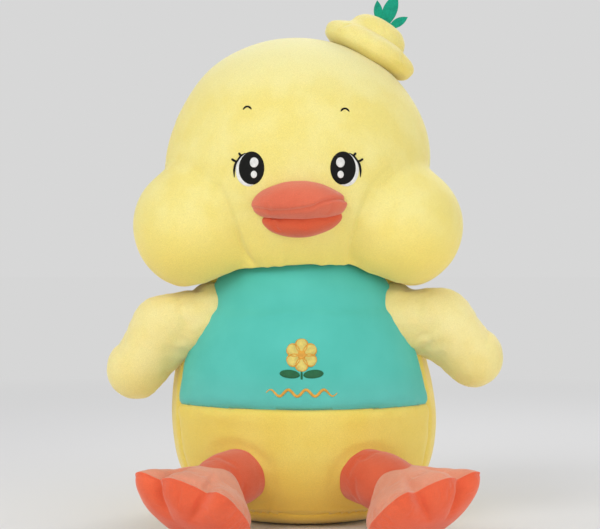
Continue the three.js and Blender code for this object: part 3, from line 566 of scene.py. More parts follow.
def cut_along(obj, *planes):
    """New edges where each plane, a point and a normal, crosses the obj."""
    bm = bmesh.new()
    bm.from_mesh(obj.data)
    for point, normal in planes:
        bmesh.ops.bisect_plane(bm, geom=bm.verts[:] + bm.edges[:] + bm.faces[:], dist=0.25 * MM,
                               plane_co=Vector(point) * MM, plane_no=Vector(normal))
    bm.to_mesh(obj.data)
    bm.free()


# Torso: a pear with a ball on top, which the head turns on
TORSO_GRAIN = 44


def torso_profile():
    join = math.degrees(math.asin(NECK_JOIN / NECK_R))
    pear = [[w * TORSO_HALF_WIDTH, h * NECK[2]] for w, h in zip(PEAR_WIDTHS, PEAR_HEIGHTS)]
    top = arc(NECK_R, NECK[2], join, 90, 24)
    lower = catmull(pear + [list(top[0])], 120)[:-1]
    lower[0, 0] = 0
    profile = np.concatenate([lower, top])
    profile[:, 1] = np.maximum(profile[:, 1], 0.4)
    return profile


def make_torso():
    ball, faces = quad_ball(TORSO_GRAIN)
    points = on_profile(ball, torso_profile())
    join_z = NECK[2] + NECK_JOIN
    roundness = smoothstep(points[:, 2], NECK[2] / 2, join_z)
    flatness = TORSO_HALF_DEPTH / TORSO_HALF_WIDTH
    points[:, 1] *= flatness + (1 - flatness) * roundness
    points[:, 0] += BELLY_SHIFT * (1 - smoothstep(points[:, 2], HEM_Z - 40, HEM_Z + 60))
    torso = mesh_object("torso_skin", points, faces, "yellow")
    hem = lambda p: p[:, 2] - HEM_Z
    side_seam = lambda p: p[:, 1] - SIDE_SEAM_Y
    inflate(torso, "torso",
            lambda p: near_line(hem(p)) * (side_seam(p) < 0),
            lambda p: near_line(side_seam(p)),
            lambda p: 1 - smoothstep(p[:, 2], SEAT_Z, SEAT_Z + 12),
            lambda p: smoothstep(p[:, 2], NECK[2] + 10, NECK[2] + 40),
            *[near_ball(hip, HIP_R, 14) for hip in HIP.values()])
    smoother(torso)
    cut_along(torso, ((0, 0, HEM_Z), (0, 0, 1)), ((0, 0, SEAT_Z), (0, 0, 1)),
              ((0, SIDE_SEAM_Y, 0), (0, 1, 0)))
    seam(torso, hem, depth=2.0, width=2.2, swell=1.2, spread=15, pucker=0.9, seed=2,
         where=lambda p: smoothstep(-side_seam(p), -3, 5))
    seam(torso, side_seam, depth=2.0, width=2.2, swell=1.0, spread=15, pucker=0.9, seed=5,
         where=lambda p: (smoothstep(p[:, 2], SEAT_Z - 2, SEAT_Z + 8)
                          * (1 - smoothstep(p[:, 2], NECK[2] + 60, NECK[2] + 80))))
    seam(torso, lambda p: p[:, 2] - SEAT_Z, depth=1.6, width=2.2, swell=0.5, spread=10, pucker=0.5, seed=8,
         where=lambda p: smoothstep(p[:, 2], 1, 6))
    rest_on_floor(torso)

    def owner(c):
        ahead = c[:, 1] < SIDE_SEAM_Y
        return np.where(c[:, 2] < SEAT_Z, 3, np.where(ahead, np.where(c[:, 2] > HEM_Z, 0, 1), 2))

    shirt, belly, back, seat = split(torso, owner, {"shirt_front": "mint", "belly_front": "belly",
                                                    "body_back": "belly", "seat_bottom": "belly"})
    finish_piece(shirt, "torso", ["shirt_panel"], "mint_shirt")
    finish_piece(belly, "torso", ["belly_panel", "torso_stuffing"], "yellow_plush")
    finish_piece(back, "torso", ["back_panel"], "yellow_plush")
    finish_piece(seat, "torso", ["seat_panel"], "yellow_plush")
    return shirt


# Head: one skin over the skull and both cheeks, hollow below where it sits on the neck
def far_side(d, centre, halves):
    """How far along each direction an ellipsoid's far side is, going on smoothly where it is missed."""
    a = np.sum((d / halves) ** 2, axis=1)
    b = (d / halves) @ (centre / halves)
    inside = b ** 2 - a * (np.sum((centre / halves) ** 2) - 1)
    return np.where(b > 0, (b + np.sign(inside) * np.sqrt(np.abs(inside))) / a, 0)


def head_reach(d):
    """How far the head's skin is from the skull's middle in each direction."""
    e = d / SKULL_HALVES
    e[:, 2] = np.where(d[:, 2] > 0, e[:, 2], d[:, 2] / JOWL_HEIGHT)
    power = np.where(d[:, 2] > 0, 2, JOWL_POWER)
    reach = (np.hypot(e[:, 0], e[:, 1]) ** power + np.abs(e[:, 2]) ** power) ** (-1 / power)
    temple = (smoothstep(-d[:, 0], 0.3, 0.9) * smoothstep(d[:, 2], -0.1, 0.3)
              * smoothstep(-d[:, 2], -0.9, -0.4))
    reach = reach - TEMPLE_DIP * temple
    ahead = smoothstep(-d[:, 1], 0.08, 0.5)
    for side, sign in SIDES.items():
        q = np.array([sign * CHEEK_OUT[side], -CHEEK_AHEAD, -CHEEK_BELOW])
        cheek = far_side(d, q, CHEEK_OUTER)
        cheek = np.where((d[:, 0] * cheek - q[0]) * sign > 0, cheek, far_side(d, q, CHEEK_INNER))
        height = SKULL[2] + d[:, 2] * reach
        k = 1.5 + (6 + 13 * ahead) * smoothstep(height, 270, 335)
        h = np.clip(0.5 + (cheek - reach) / (2 * k), 0, 1)
        reach = reach + (cheek - reach) * h + k * h * (1 - h)
    q = NECK - SKULL
    along = d @ q
    inside = along ** 2 - (q @ q - NECK_SOCKET_R ** 2)
    hit = np.where((inside > 0) & (along > 0), along - np.sqrt(np.maximum(inside, 0)), 1e3)
    k = 2.5
    h = np.clip(0.5 + (reach - hit) / (2 * k), 0, 1)
    return reach + (hit - reach) * h - k * h * (1 - h)


HEAD_GRAIN = 72


def make_head():
    ball, faces = quad_ball(HEAD_GRAIN)
    head = mesh_object("head_skin", SKULL + ball * head_reach(ball)[:, None], faces, "yellow")
    relax(head, lambda p: near_line(np.linalg.norm(p - NECK, axis=1) - NECK_SOCKET_R), 3)
    back_seam = lambda p: p[:, 1] - HEAD_SEAM_Y
    inflate(head, "head", lambda p: near_line(back_seam(p)), near_ball(NECK, NECK_SOCKET_R, 10))
    smoother(head)
    seam(head, back_seam, depth=1.9, width=2.2, swell=0.9, spread=16, pucker=0.8, seed=11,
         where=lambda p: smoothstep(p[:, 2], 232, 262))
    shown = lambda p: (smoothstep(-p[:, 1], 30, 60) * smoothstep(p[:, 2], 244, 258)
                       * (1 - 0.75 * smoothstep(p[:, 2], 270, 335)))
    for k, fold in enumerate(FOLDS):
        knots = catmull(fold, 50)
        seam(head, lambda p: np.min([np.hypot(p[:, 0] - x, p[:, 2] - z) for x, z in knots], axis=0),
             depth=2.6, width=3.0, swell=0.7, spread=16, pucker=0.4, seed=14 + k, where=shown)
    points, out = places(head), directions(head)
    low = 1 - smoothstep(points[:, 2], 262, 300)
    soft = ruffle(points * np.array([1, 1, 0.45]), 17, 3.3) * 0.7 * low + ruffle(points, 60, 6.1) * 0.9
    move_to(head, points + out * soft[:, None])
    finish_piece(head, "head", ["face_panel", "head_back_panel", "cheek_right_panel", "cheek_left_panel",
                                "head_stuffing"], "yellow_plush")
    return head


# Limbs: a profile turned round the line from a root
def limb(name, root_r, mid_r, tip_r, reach, grain, look, warp):
    root = arc(root_r, 0, -90, 0, 16)
    tip = arc(tip_r, reach, 15, 90, 20)
    middle = catmull([root[-1], [mid_r, reach / 2], tip[0]], 40)
    ball, faces = quad_ball(grain)
    points = on_profile(ball, np.concatenate([root[:-1], middle[:-1], tip]))
    return mesh_object(name, warp(points), faces, look)


def turning(matrix, points):
    return points @ np.array(matrix).T


def clear_of_head(points):
    """A wing's points pressed down softly, to leave room for the cheek above them when the head moves."""
    d = points - SKULL
    far = np.linalg.norm(d, axis=1, keepdims=True)
    short = CHEEK_ROOM + head_reach(d / far)[:, None] - far
    return points + d / far * (short + np.sqrt(short ** 2 + 4)) / 2


def make_wing(side):
    sign = SIDES[side]
    turn = (Matrix.Rotation(-math.radians(WING_SWEEP), 3, "Z")
            @ Matrix.Rotation(math.radians(90 + WING_DROOP[side]), 3, "Y"))

    def warp(points):
        out = smoothstep(points[:, 2], 0, WING_LENGTH / 2)
        points[:, 1] *= 1 + (WING_FLATNESS - 1) * out
        along = np.clip(points[:, 2] / (WING_LENGTH * WING_BOW_SPAN), 0, 1)
        points[:, 0] -= WING_BOW * np.sin(math.pi * along) ** 2
        points = turning(turn, points)
        points[:, 0] *= sign
        return points + SHOULDER[side]

    wing = limb(f"wing_{side}_skin", WING_ROOT_R, WING_MID_R, WING_TIP_R, WING_LENGTH, 26, "wing", warp)
    if sign < 0:
        wing.data.flip_normals()
    edge = lambda p: p[:, 1] - SHOULDER[side][1]
    inflate(wing, "wing", lambda p: near_line(edge(p)), near_ball(SHOULDER[side], SHOULDER_R + 4, 12))
    smoother(wing)
    root = near_ball(SHOULDER[side], SHOULDER_R + 4, 18)
    seam(wing, edge, depth=1.5, width=1.9, swell=0.7, spread=12, pucker=0.7, seed=21 + sign,
         where=lambda p: 1 - root(p))
    points, out = clear_of_head(places(wing)), directions(wing)
    far = np.linalg.norm(points - SHOULDER[side], axis=1)
    gather = near_line(far - SHOULDER_R - 10, 14) * ruffle(points * np.array([0.5, 1, 1]), 9, 4.0 + sign)
    move_to(wing, points + out * (gather * 1.3 + ruffle(points, 34, 2.0 + sign) * 0.8)[:, None])
    finish_piece(wing, f"wing_{side}", [f"wing_{side}_front_panel", f"wing_{side}_back_panel",
                                        f"wing_{side}_stuffing"], "yellow_plush")


def make_leg(side):
    root, end = HIP[side], ANKLE[side]
    line = Vector(end - root)
    turn = Vector((0, 0, 1)).rotation_difference(line.normalized()).to_matrix()
    # The leg takes the darker coral copy: painted shade under the body.
    leg = limb(f"leg_{side}_skin", HIP_R, LEG_MID_R, ANKLE_R, line.length, 22, "coral_shaded",
               lambda points: turning(turn, points) + root)
    inflate(leg, "leg", near_ball(root, HIP_R, 10), near_ball(end, ANKLE_R, 8))
    smoother(leg)
    crumple(leg, 13, 0.8, 9.0 + SIDES[side], (1, 0.5, 1))
    finish_piece(leg, f"leg_{side}", [f"leg_{side}_cover", f"leg_{side}_stuffing"], "coral_plush")


# Feet: a sole and a top sewn together round three toes
FOOT_GRAIN = 34
TOE_GROOVES = [60, 128]         # degrees across the foot at which the clefts between the toes lie


def make_foot(side):
    sign = SIDES[side]
    turn = (Matrix.Rotation(sign * math.radians(FOOT_SPLAY[side]), 3, "Z") @ Matrix.Rotation(math.pi, 3, "Z")
            @ Matrix.Rotation(math.radians(FOOT_TILT), 3, "X")
            @ Matrix.Rotation(sign * math.radians(FOOT_ROLL), 3, "Y"))
    centre = ANKLE[side] - turning(turn, np.array([[0, -ANKLE_BELOW, ANKLE_BEHIND]]))[0]
    rim = catmull([[-sign * (x + FOOT_SHIFT[side]) * FOOT_HALF_WIDTH, y * FOOT_HALF_LENGTH]
                   for x, y in zip(FOOT_OUTS, FOOT_LENGTHS)], 400, closed=True)[:-1]
    rim = rim[np.argsort(np.arctan2(rim[:, 1], rim[:, 0]))]
    rim_reach = lambda angle: np.interp(angle, np.arctan2(rim[:, 1], rim[:, 0]), np.linalg.norm(rim, axis=1),
                                        period=2 * math.pi)
    ball, faces = quad_ball(FOOT_GRAIN)
    angle = np.arctan2(ball[:, 1], ball[:, 0])
    edge = rim_reach(angle)
    u = np.sqrt(np.clip(1 - ball[:, 2] ** 2, 0, 1))
    flat = np.stack([edge * u * np.cos(angle), edge * u * np.sin(angle)], -1)
    toe = smoothstep(flat[:, 1], -FOOT_HALF_LENGTH, FOOT_HALF_LENGTH)
    from_instep = (flat * [-sign, 1] - INSTEP) / INSTEP_SPREAD
    top = TOE_HIGH + (INSTEP_HIGH - TOE_HIGH) * np.exp(-np.sum(from_instep ** 2, axis=1))
    thick = np.where(ball[:, 2] > 0, top, FOOT_SOLE * (1.05 - 0.2 * toe))
    crown = np.clip(1 - u ** 2.8, 0, 1) ** 0.5
    degrees = np.degrees(np.arctan2(flat[:, 1], -sign * flat[:, 0])) % 360
    away = np.min([np.abs(degrees - g) for g in TOE_GROOVES], axis=0)
    cleft = np.exp(-(away / 5.5) ** 2) * smoothstep(u, 0.42, 0.95)
    height = np.sign(ball[:, 2]) * crown * thick * (1 - 0.45 * cleft)
    points = np.concatenate([flat, height[:, None]], axis=1)
    foot = mesh_object(f"foot_{side}_skin", turning(turn, points) + centre, faces, "coral_foot")
    inverse = np.array(turn).T
    local = lambda p: (p - centre) @ inverse.T

    def from_rim(p):
        q = local(p)
        away = rim_reach(np.arctan2(q[:, 1], q[:, 0])) - np.hypot(q[:, 0], q[:, 1])
        return np.hypot(away, q[:, 2] * 1.6)

    inflate(foot, "foot", lambda p: near_line(from_rim(p)), near_ball(ANKLE[side], ANKLE_R + 4, 10))
    smoother(foot)
    seam(foot, from_rim, depth=-1.1, width=1.5, swell=0.0, spread=9, pucker=1.0, seed=31 + sign)
    crumple(foot, 22, 0.9, 7.0 + sign)
    rest_on_floor(foot)
    # The foot's top faces take the paler coral copy: painted light where they turn up.
    z = local(np.array([p.center for p in foot.data.polygons]) / MM)[:, 2]
    foot.data.materials.append(looks["coral_lit"])
    foot.data.polygons.foreach_set("material_index", (z > 0.8).astype(int))
    foot.data.update()
    finish_piece(foot, f"foot_{side}", [f"foot_{side}_top_panel", f"foot_{side}_sole_panel",
                                        f"foot_{side}_stuffing"], "coral_plush")


# Beak: two stuffed lobes, with a fold above the lip of the upper one
BEAK = {
    "upper": {"middle": [-2.2, -116.0, 308.8], "halves": [44.4, 36.0, 19.0], "bend": -3.5, "lean": 0.0,
              "look": "coral"},
    # The lower lobe takes the darker coral copy: painted shade under the upper lobe.
    "lower": {"middle": [0.4, -112.0, 289.0], "halves": [38.5, 23.0, 13.4], "bend": 4.0, "lean": 0.06,
              "look": "coral_shaded"},
}
LIP_X = [-43, -24, -1, 12, 21, 37, 45]
LIP_Z = [302, 299, 299.6, 302.5, 307, 310.5, 309]


def make_beak():
    ball, faces = quad_ball(30)
    for name, lobe_form in BEAK.items():
        middle, halves = np.array(lobe_form["middle"]), np.array(lobe_form["halves"])
        points = ball * halves
        across = points[:, 0] / halves[0]
        points[:, 2] += lobe_form["bend"] * across ** 2 + lobe_form["lean"] * points[:, 0]
        lobe = mesh_object(f"beak_{name}_skin", points + middle, faces, lobe_form["look"])
        inflate(lobe, "beak", lambda p: smoothstep(p[:, 1], -112, -104))
        smoother(lobe)
        if name == "upper":
            ahead = lambda p: smoothstep(-p[:, 1], 112, 124)
            firm = lambda p: ahead(p) * (0.45 + 0.55 * smoothstep(p[:, 0], -20, 25))
            knots = catmull(list(zip(LIP_X, LIP_Z)), 60)
            line = lambda p: p[:, 2] - np.interp(p[:, 0] - middle[0], knots[:, 0], knots[:, 1])
            seam(lobe, line, depth=2.0, width=1.7, swell=0.9, spread=7, pucker=0.5, seed=41, where=firm)
        crumple(lobe, 15, 0.6, 5.5)
        finish_piece(lobe, "head", [f"beak_{name}_cover", f"beak_{name}_stuffing"], "coral_plush")


# Bun: a roll with a cap that runs out of it on one side, like a swirl
BUN_CENTRE = np.array([67.5, -8.0, 463.5])
BUN_TILT = 30
BUN_POWER = 2.7
BRIM_HALVES = np.array([49.0, 48.0, 15.0])
CAP_HALVES = np.array([30.5, 30.5, 18.0])
CAP_RISE = 13
BUN_EYE = 8                 # height inside the bun from which its skin is measured


def bun_turn():
    return Matrix.Rotation(math.radians(BUN_TILT), 3, "Y")


def exit_of(inside, d, far):
    """How far along each direction the skin of a form lies, found by halving."""
    low, high = np.zeros(len(d)), np.full(len(d), float(far))
    for _ in range(24):
        middle = (low + high) / 2
        within = inside(d * middle[:, None])
        low = np.where(within, middle, low)
        high = np.where(within, high, middle)
    return low


def full_ball(p, halves):
    across, up = np.hypot(p[:, 0], p[:, 1]) / halves[0], np.abs(p[:, 2]) / halves[2]
    return across ** BUN_POWER + up ** BUN_POWER < 1


def make_bun():
    ball, faces = quad_ball(34)
    brim = exit_of(lambda p: full_ball(p + [0, 0, BUN_EYE], BRIM_HALVES), ball, 80)
    cap = exit_of(lambda p: full_ball(p + [0, 0, BUN_EYE - CAP_RISE], CAP_HALVES), ball, 80)
    side = ball[:, 0] / np.maximum(np.hypot(ball[:, 0], ball[:, 1]), 1e-6)
    k = 1.6 + 9 * smoothstep(-side, -0.1, 0.9)
    h = np.clip(0.5 + (cap - brim) / (2 * k), 0, 1)
    reach = brim + (cap - brim) * h + k * h * (1 - h)
    points = ball * reach[:, None] + [0, 0, BUN_EYE]
    bun = mesh_object("bun_skin", turning(bun_turn(), points) + BUN_CENTRE, faces, "bun")
    height = lambda p: turning(bun_turn().inverted(), p - BUN_CENTRE)[:, 2]
    inflate(bun, "bun", lambda p: near_line(height(p) - BRIM_HALVES[2], 3),
            lambda p: 1 - smoothstep(height(p), -8, 0))
    smoother(bun)
    crumple(bun, 16, 0.8, 12.0)
    finish_piece(bun, "head", ["bun_brim_cover", "bun_cap_cover", "bun_stuffing"], "yellow_plush")


# Felt leaves cut as one piece, and sewn to the cap along their foot
LEAF_LENGTH = 32
LEAF_HALF_WIDTH = 8
LEAF_THICK = 2
LEAF_BASE = 9
LEAF_LEAN = [-34, -8, 30]
LEAF_SIZES = [0.6, 1, 0.6]
LEAF_PLACES = [-0.8, 0, 0.8]
LEAF_ROWS, LEAF_COLUMNS = 26, 12


def leaf_points(size):
    """One leaf standing on the origin: its front layer of points, then its back layer."""
    t, s = np.meshgrid(np.linspace(0, 1, LEAF_ROWS + 1), np.linspace(-1, 1, LEAF_COLUMNS + 1), indexing="ij")
    half = LEAF_HALF_WIDTH * size * ((1 - t) ** 2 * 0.5 + 2 * t * (1 - t) * 1.5)
    cup = 1.2 * s ** 2 * np.sin(math.pi * t)
    curl = 2.5 * t ** 2 * size
    layers = []
    for face in (-1, 1):
        vein = 0.5 * np.exp(-(s / 0.16) ** 2) * (1 - t)
        y = face * (LEAF_THICK / 2 * (1 - 0.5 * np.abs(s) ** 3) - vein) - cup + curl
        layers.append(np.stack([half * s, y, t * LEAF_LENGTH * size], -1).reshape(-1, 3))
    return np.concatenate(layers)


def leaf_faces():
    rows, columns = LEAF_ROWS, LEAF_COLUMNS
    count = (rows + 1) * (columns + 1)
    at = lambda i, j: i * (columns + 1) + j
    faces = []
    for i in range(rows):
        for j in range(columns):
            quad = [at(i, j), at(i, j + 1), at(i + 1, j + 1), at(i + 1, j)]
            faces.append(quad)
            faces.append([v + count for v in quad[::-1]])
    border = ([at(0, j) for j in range(columns)] + [at(i, columns) for i in range(rows)]
              + [at(rows, j) for j in range(columns, 0, -1)] + [at(i, 0) for i in range(rows, 0, -1)])
    for a, b in zip(border, border[1:] + border[:1]):
        faces.append([b, a, a + count, b + count])
    return faces


def make_leaves():
    root = BUN_CENTRE + turning(bun_turn(), np.array([[0, 0, CAP_RISE + CAP_HALVES[2] + LEAF_THICK / 2]]))[0]
    faces = leaf_faces()
    every, all_faces = [], []
    for lean, size, place in zip(LEAF_LEAN, LEAF_SIZES, LEAF_PLACES):
        leaf = turning(Matrix.Rotation(math.radians(lean), 3, "Y"), leaf_points(size))
        leaf += [place * LEAF_BASE, 0, -1]
        start = sum(len(points) for points in every)
        all_faces += [[v + start for v in face] for face in faces]
        every.append(turning(bun_turn(), leaf) + root)
    leaves = mesh_object("leaf_crown_felt", np.concatenate(every), all_faces, "teal")
    tidy_normals(leaves)
    foot = quad_ball(8)[0] * [LEAF_BASE + 2, LEAF_THICK * 0.8, LEAF_THICK]
    foot = mesh_object("leaf_foot", turning(bun_turn(), foot) + root, quad_ball(8)[1], "teal")
    leaves = join_objects("leaf_crown_felt", [leaves, foot])
    finish_piece(leaves, "leaves", ["leaf_crown"], "teal_felt")


# Embroidery, lying on the cloth below it
FLOSS = 1.1


class Cloth:
    """Where the front of a piece of cloth is, behind a point given by its x and z."""

    def __init__(self, obj):
        mesh = obj.data
        self.tree = BVHTree.FromPolygons([v.co for v in mesh.vertices], [p.vertices for p in mesh.polygons])

    def at(self, x, z):
        hit, normal, _, _ = self.tree.ray_cast(Vector((x, -400, z)) * MM, Vector((0, 1, 0)))
        if normal.y > 0:
            normal = -normal
        return np.array(hit) / MM, np.array(normal)


def patch(name, cloth, outline, look, high, lift=0.0):
    """A domed patch of stitches inside an outline of [x, z] points."""
    outline = np.array(outline)
    centre = outline.mean(axis=0)
    rings = [0.35, 0.65, 0.85, 0.94, 1.0]
    points, faces = [], []
    count = len(outline)
    for level in (1, -1):
        for r in rings:
            for x, z in centre + (outline - centre) * r:
                place, normal = cloth.at(x, z)
                dome = high * (1 - r ** 6) ** 0.5 if level > 0 else -0.5
                points.append(place + normal * (lift + dome))
        place, normal = cloth.at(*centre)
        points.append(place + normal * (lift + (high if level > 0 else -0.5)))
    layer = len(points) // 2
    for level in (0, 1):
        base = level * layer
        for k in range(count):
            n = (k + 1) % count
            tri = [base + layer - 1, base + k, base + n]
            faces.append(tri if level else tri[::-1])
            for i in range(len(rings) - 1):
                a, b = base + i * count, base + (i + 1) * count
                quad = [a + k, b + k, b + n, a + n]
                faces.append(quad if level else quad[::-1])
    last = (len(rings) - 1) * count
    for k in range(count):
        n = (k + 1) % count
        faces.append([last + n, last + k, last + k + layer, last + n + layer])
    obj = mesh_object(name, points, faces, look)
    tidy_normals(obj)
    return obj


def tidy_normals(obj):
    bm = bmesh.new()
    bm.from_mesh(obj.data)
    bmesh.ops.remove_doubles(bm, verts=bm.verts, dist=0.01 * MM)
    bmesh.ops.recalc_face_normals(bm, faces=bm.faces)
    bm.to_mesh(obj.data)
    bm.free()


def stroke(name, cloth, lines, width, look, high=FLOSS):
    """Lines of satin stitch, each along a run of [x, z] points, thin at both ends."""
    points, faces = [], []
    section = np.linspace(0, 2 * math.pi, 10, endpoint=False)
    for line in lines:
        line = catmull(line, 8 * (len(line) - 1))
        along = np.gradient(line, axis=0)
        along /= np.linalg.norm(along, axis=1, keepdims=True)
        first = len(points)
        for i, ((x, z), (ax, az)) in enumerate(zip(line, along)):
            share = i / (len(line) - 1)
            thin = min(1, 0.25 + 4 * min(share, 1 - share))
            place, normal = cloth.at(x, z)
            across = np.cross(normal, np.array([ax, 0, az]))
            across /= np.linalg.norm(across)
            for angle in section:
                points.append(place + across * math.cos(angle) * width * thin / 2
                              + normal * math.sin(angle) * high * thin)
        n = len(section)
        for i in range(len(line) - 1):
            for k in range(n):
                m = (k + 1) % n
                a = first + i * n
                faces.append([a + k, a + m, a + n + m, a + n + k])
        last = first + (len(line) - 1) * n
        faces.append([first + k for k in range(n)])
        faces.append([last + k for k in reversed(range(n))])
    obj = mesh_object(name, points, faces, look)
    tidy_normals(obj)
    return obj


def oval(x, z, half_width, half_height, count=40):
    angle = np.linspace(0, 2 * math.pi, count, endpoint=False)
    return np.stack([x + half_width * np.cos(angle), z + half_height * np.sin(angle)], -1)


EYE_OUT = 42.4
EYE_Z = 338.9
EYE_HALF_WIDTH = 12.1
EYE_HALF_HEIGHT = 15.5
WHITE_PLACE = [2.7, -1.2]
GLINTS = {"large": ([-3.0, 5.2], [4.0, 4.7]), "small": ([-2.8, -5.8], [2.9, 3.4])}
LASH_WIDTH = 2.2
# Each line of the lashes, in millimetres out and up from the middle of the eye
LASHES = [[[5.5, 14.2], [9.4, 11.6], [11.6, 9.0], [14.9, 4.2], [16.1, -1.5], [16.0, -8.1]],
          [[8.8, 11.4], [10.4, 12.6], [11.9, 14.6]],
          [[13.6, 6.4], [16.0, 7.3], [18.8, 9.2]]]
BROWS = {"right": [46.6, 396.6], "left": [44.2, 394.6]}


def make_face(head):
    cloth = Cloth(head)
    for side, sign in SIDES.items():
        x = SKULL[0] + sign * EYE_OUT
        spot = lambda place: (x + sign * place[0], EYE_Z + place[1])
        white = oval(*spot(WHITE_PLACE), EYE_HALF_WIDTH, EYE_HALF_HEIGHT)
        pupil = oval(x, EYE_Z, EYE_HALF_WIDTH, EYE_HALF_HEIGHT)
        pieces = {"white": (patch(f"eye_{side}_white_stitch", cloth, white, "white", 0.8), "white_floss"),
                  "pupil": (patch(f"eye_{side}_pupil_stitch", cloth, pupil, "black", 1.5), "black_floss")}
        for size, (place, halves) in GLINTS.items():
            glint = patch(f"eye_{side}_glint_{size}_stitch", cloth, oval(*spot(place), *halves, 24), "white",
                          0.8, 1.4)
            pieces[f"glint_{size}"] = (glint, "white_floss")
        lines = [[spot(place) for place in line] for line in LASHES]
        lashes = stroke(f"eye_{side}_lash_stitch", cloth, lines, LASH_WIDTH, "black")
        pieces["lashes"] = (lashes, "black_floss")
        for part, (obj, slot) in pieces.items():
            finish_piece(obj, "head", [f"eye_{side}_{part}"], slot)
        out, z = BROWS[side]
        bx = SKULL[0] + sign * out
        brow = [[bx - 4.0, z - 2.6], [bx - 1.5, z], [bx + 1.6, z], [bx + 4.2, z - 2.6]]
        finish_piece(stroke(f"brow_{side}_stitch", cloth, [brow], 1.9, "black", 0.8), "head",
                     [f"brow_{side}"], "black_floss")


FLOWER_Z = 166
FLOWER_R = 15
PETALS = 6
WAVE_Z = 131


def join_objects(name, objects):
    base = objects[0]
    with bpy.context.temp_override(active_object=base, selected_editable_objects=objects):
        bpy.ops.object.join()
    base.name = base.data.name = name
    return base


def make_chest(shirt):
    cloth = Cloth(shirt)
    petals = []
    for k in range(PETALS):
        angle = 2 * math.pi * (k + 0.5) / PETALS
        ray = np.array([math.cos(angle), math.sin(angle)])
        across = np.array([-ray[1], ray[0]])
        t = np.linspace(0, 2 * math.pi, 28, endpoint=False)
        outline = [np.array([0, FLOWER_Z]) + ray * (8.6 + 6.4 * math.cos(a)) + across * 5.4 * math.sin(a)
                   * (1 + 0.15 * math.cos(a)) for a in t]
        petals.append(patch(f"petal_{k}", cloth, outline, "gold", 1.0))
        petals.append(stroke(f"petal_rim_{k}", cloth, [outline + outline[:1]], 1.5, "orange", 1.3))
    petals.append(patch("flower_eye", cloth, oval(0, FLOWER_Z, 4.2, 4.2, 24), "orange", 1.6))
    finish_piece(join_objects("flower_stitch", petals), "torso", ["flower_patch"], "gold_floss")
    leaves = []
    base = FLOWER_Z - FLOWER_R - 3.6
    for sign in (-1, 1):
        t = np.linspace(0, math.pi, 12)
        rim = lambda a, high: [sign * (1.5 + 19 * (1 - math.cos(a)) / 2),
                               base + high * math.sin(a) + 1.5 * (1 - math.cos(a)) / 2]
        outline = [rim(a, 4.4) for a in t] + [rim(a, -3.6) for a in t[-2:0:-1]]
        leaves.append(patch(f"sprig_{sign}", cloth, outline, "green", 1.0))
    stem = [[0, base + 3.5], [0, base - 1], [0, base - 4]]
    leaves.append(stroke("sprig_stem", cloth, [stem], 2.0, "green", 0.9))
    finish_piece(join_objects("leaf_stitch", leaves), "torso", ["leaf_patch"], "green_floss")
    wave = [[33 * (2 * i / 32 - 1), WAVE_Z + 3 * math.sin(8 * math.pi * i / 32)] for i in range(33)]
    finish_piece(stroke("wave_line_stitch", cloth, [wave], 2.6, "orange", 1.0), "torso", ["wave_stitch"],
                 "gold_floss")


# Seam tapes, folded inside the neck and the shoulders
def make_tape(name, centre, inside, outside, band, axis, body, node):
    steps, turns = 6, 96
    low, high = (math.radians(a) for a in band)
    section = [(inside, a) for a in np.linspace(low, high, steps)]
    section += [(outside, a) for a in np.linspace(high, low, steps)]
    angle = np.linspace(0, 2 * math.pi, turns, endpoint=False)
    points = []
    for r, a in section:
        for k, b in enumerate(angle):
            crimp = 0.12 * math.sin(b * 24)
            points.append([(r + crimp) * math.cos(a) * math.cos(b), (r + crimp) * math.cos(a) * math.sin(b),
                           (r + crimp) * math.sin(a)])
    rows = len(section)
    faces = [[i * turns + k, i * turns + (k + 1) % turns, (i + 1) % rows * turns + (k + 1) % turns,
              (i + 1) % rows * turns + k] for i in range(rows) for k in range(turns)]
    turn = Vector((0, 0, 1)).rotation_difference(Vector(axis)).to_matrix()
    tape = mesh_object(name, turning(turn, np.array(points)) + centre, faces, "tape")
    tidy_normals(tape)
    finish_piece(tape, body, [node], "seam_tape")


looks["tape"] = felt("cotton_tape", (232, 226, 208), (220, 212, 192))

make_chest(make_torso())
make_face(make_head())
make_beak()
make_bun()
make_leaves()
make_tape("neck_tape_fold", NECK, NECK_R + 0.5, NECK_R + 2.6, (46, 54), (0, 0, 1), "neck_seam",
          "neck_seam_tape")
for side, sign in SIDES.items():
    make_wing(side)
    make_leg(side)
    make_foot(side)
    make_tape(f"shoulder_{side}_tape_fold", SHOULDER[side], SHOULDER_R + 0.4, SHOULDER_R + 2.1, (-62, -36),
              (sign, 0, 0), f"shoulder_{side}_seam", f"shoulder_{side}_seam_tape")


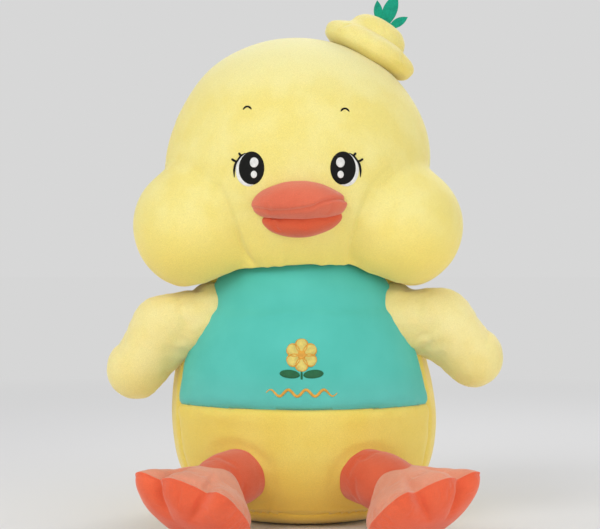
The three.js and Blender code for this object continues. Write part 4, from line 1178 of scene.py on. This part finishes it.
# Stage: a wide pale floor, soft lamps and the camera
def make_stage():
    n = Nodes("pale_floor")
    seen = n.add("ShaderNodeLightPath").outputs["Is Camera Ray"]
    away = n.add("ShaderNodeVectorMath")
    away.operation = "LENGTH"
    n.tree.links.new(n.place, away.inputs[0])
    grain = n.bump(n.noise(30, 3), 0.0004, 0.2)
    n.put(n.shader, "Base Color", n.mix(seen, rgba((243, 243, 243)), rgba((214, 214, 215))))
    n.tree.links.new(grain, n.shader.inputs["Normal"])
    n.put(n.shader, "Roughness", 0.9)
    n.put(n.shader, "Specular IOR Level", 0.1)
    n.join_far(seen, n.ramp(n.math("MULTIPLY", away.outputs["Value"], 0.4), 0.24, 0.8), rgba((214, 214, 214)))
    points = [(x, y, -0.0005) for x, y in ((-30, -30), (30, -30), (30, 30), (-30, 30))]
    mesh = bpy.data.meshes.new("floor")
    mesh.from_pydata(points, [], [[0, 1, 2, 3]])
    mesh.materials.append(n.material)
    floor = bpy.data.objects.new("floor", mesh)
    bpy.context.scene.collection.objects.link(floor)


def lamp(name, place, target, size, watts, colour=(1, 1, 1)):
    light = bpy.data.lights.new(name, "AREA")
    light.shape = "DISK"
    light.size = size
    light.energy = watts
    light.color = colour
    obj = bpy.data.objects.new(name, light)
    obj.location = place
    obj.rotation_euler = (Vector(target) - Vector(place)).to_track_quat("-Z", "Y").to_euler()
    bpy.context.scene.collection.objects.link(obj)


def make_view():
    lamp("key", (-1.1, -1.5, 1.7), (0, 0, 0.25), 1.4, 20)
    lamp("fill", (1.2, -1.6, 0.4), (0, 0, 0.2), 1.6, 10)
    lamp("rim", (0.5, 1.1, 1.6), (0, 0, 0.3), 1.0, 10)
    world = bpy.data.worlds.new("studio")
    world.use_nodes = True
    world.node_tree.nodes["Background"].inputs["Color"].default_value = (1, 1, 1, 1)
    world.node_tree.nodes["Background"].inputs["Strength"].default_value = 0.68
    bpy.context.scene.world = world
    bpy.context.scene.view_settings.view_transform = "Standard"
    camera = bpy.data.cameras.new("camera")
    camera.sensor_width = 36
    camera.lens = 36 * 1600 / 600
    obj = bpy.data.objects.new("camera", camera)
    obj.location = (-1.5 * MM, -1.6, 0.25)
    obj.rotation_euler = (math.pi / 2, 0, 0)
    bpy.context.scene.collection.objects.link(obj)
    bpy.context.scene.camera = obj


make_stage()
make_view()
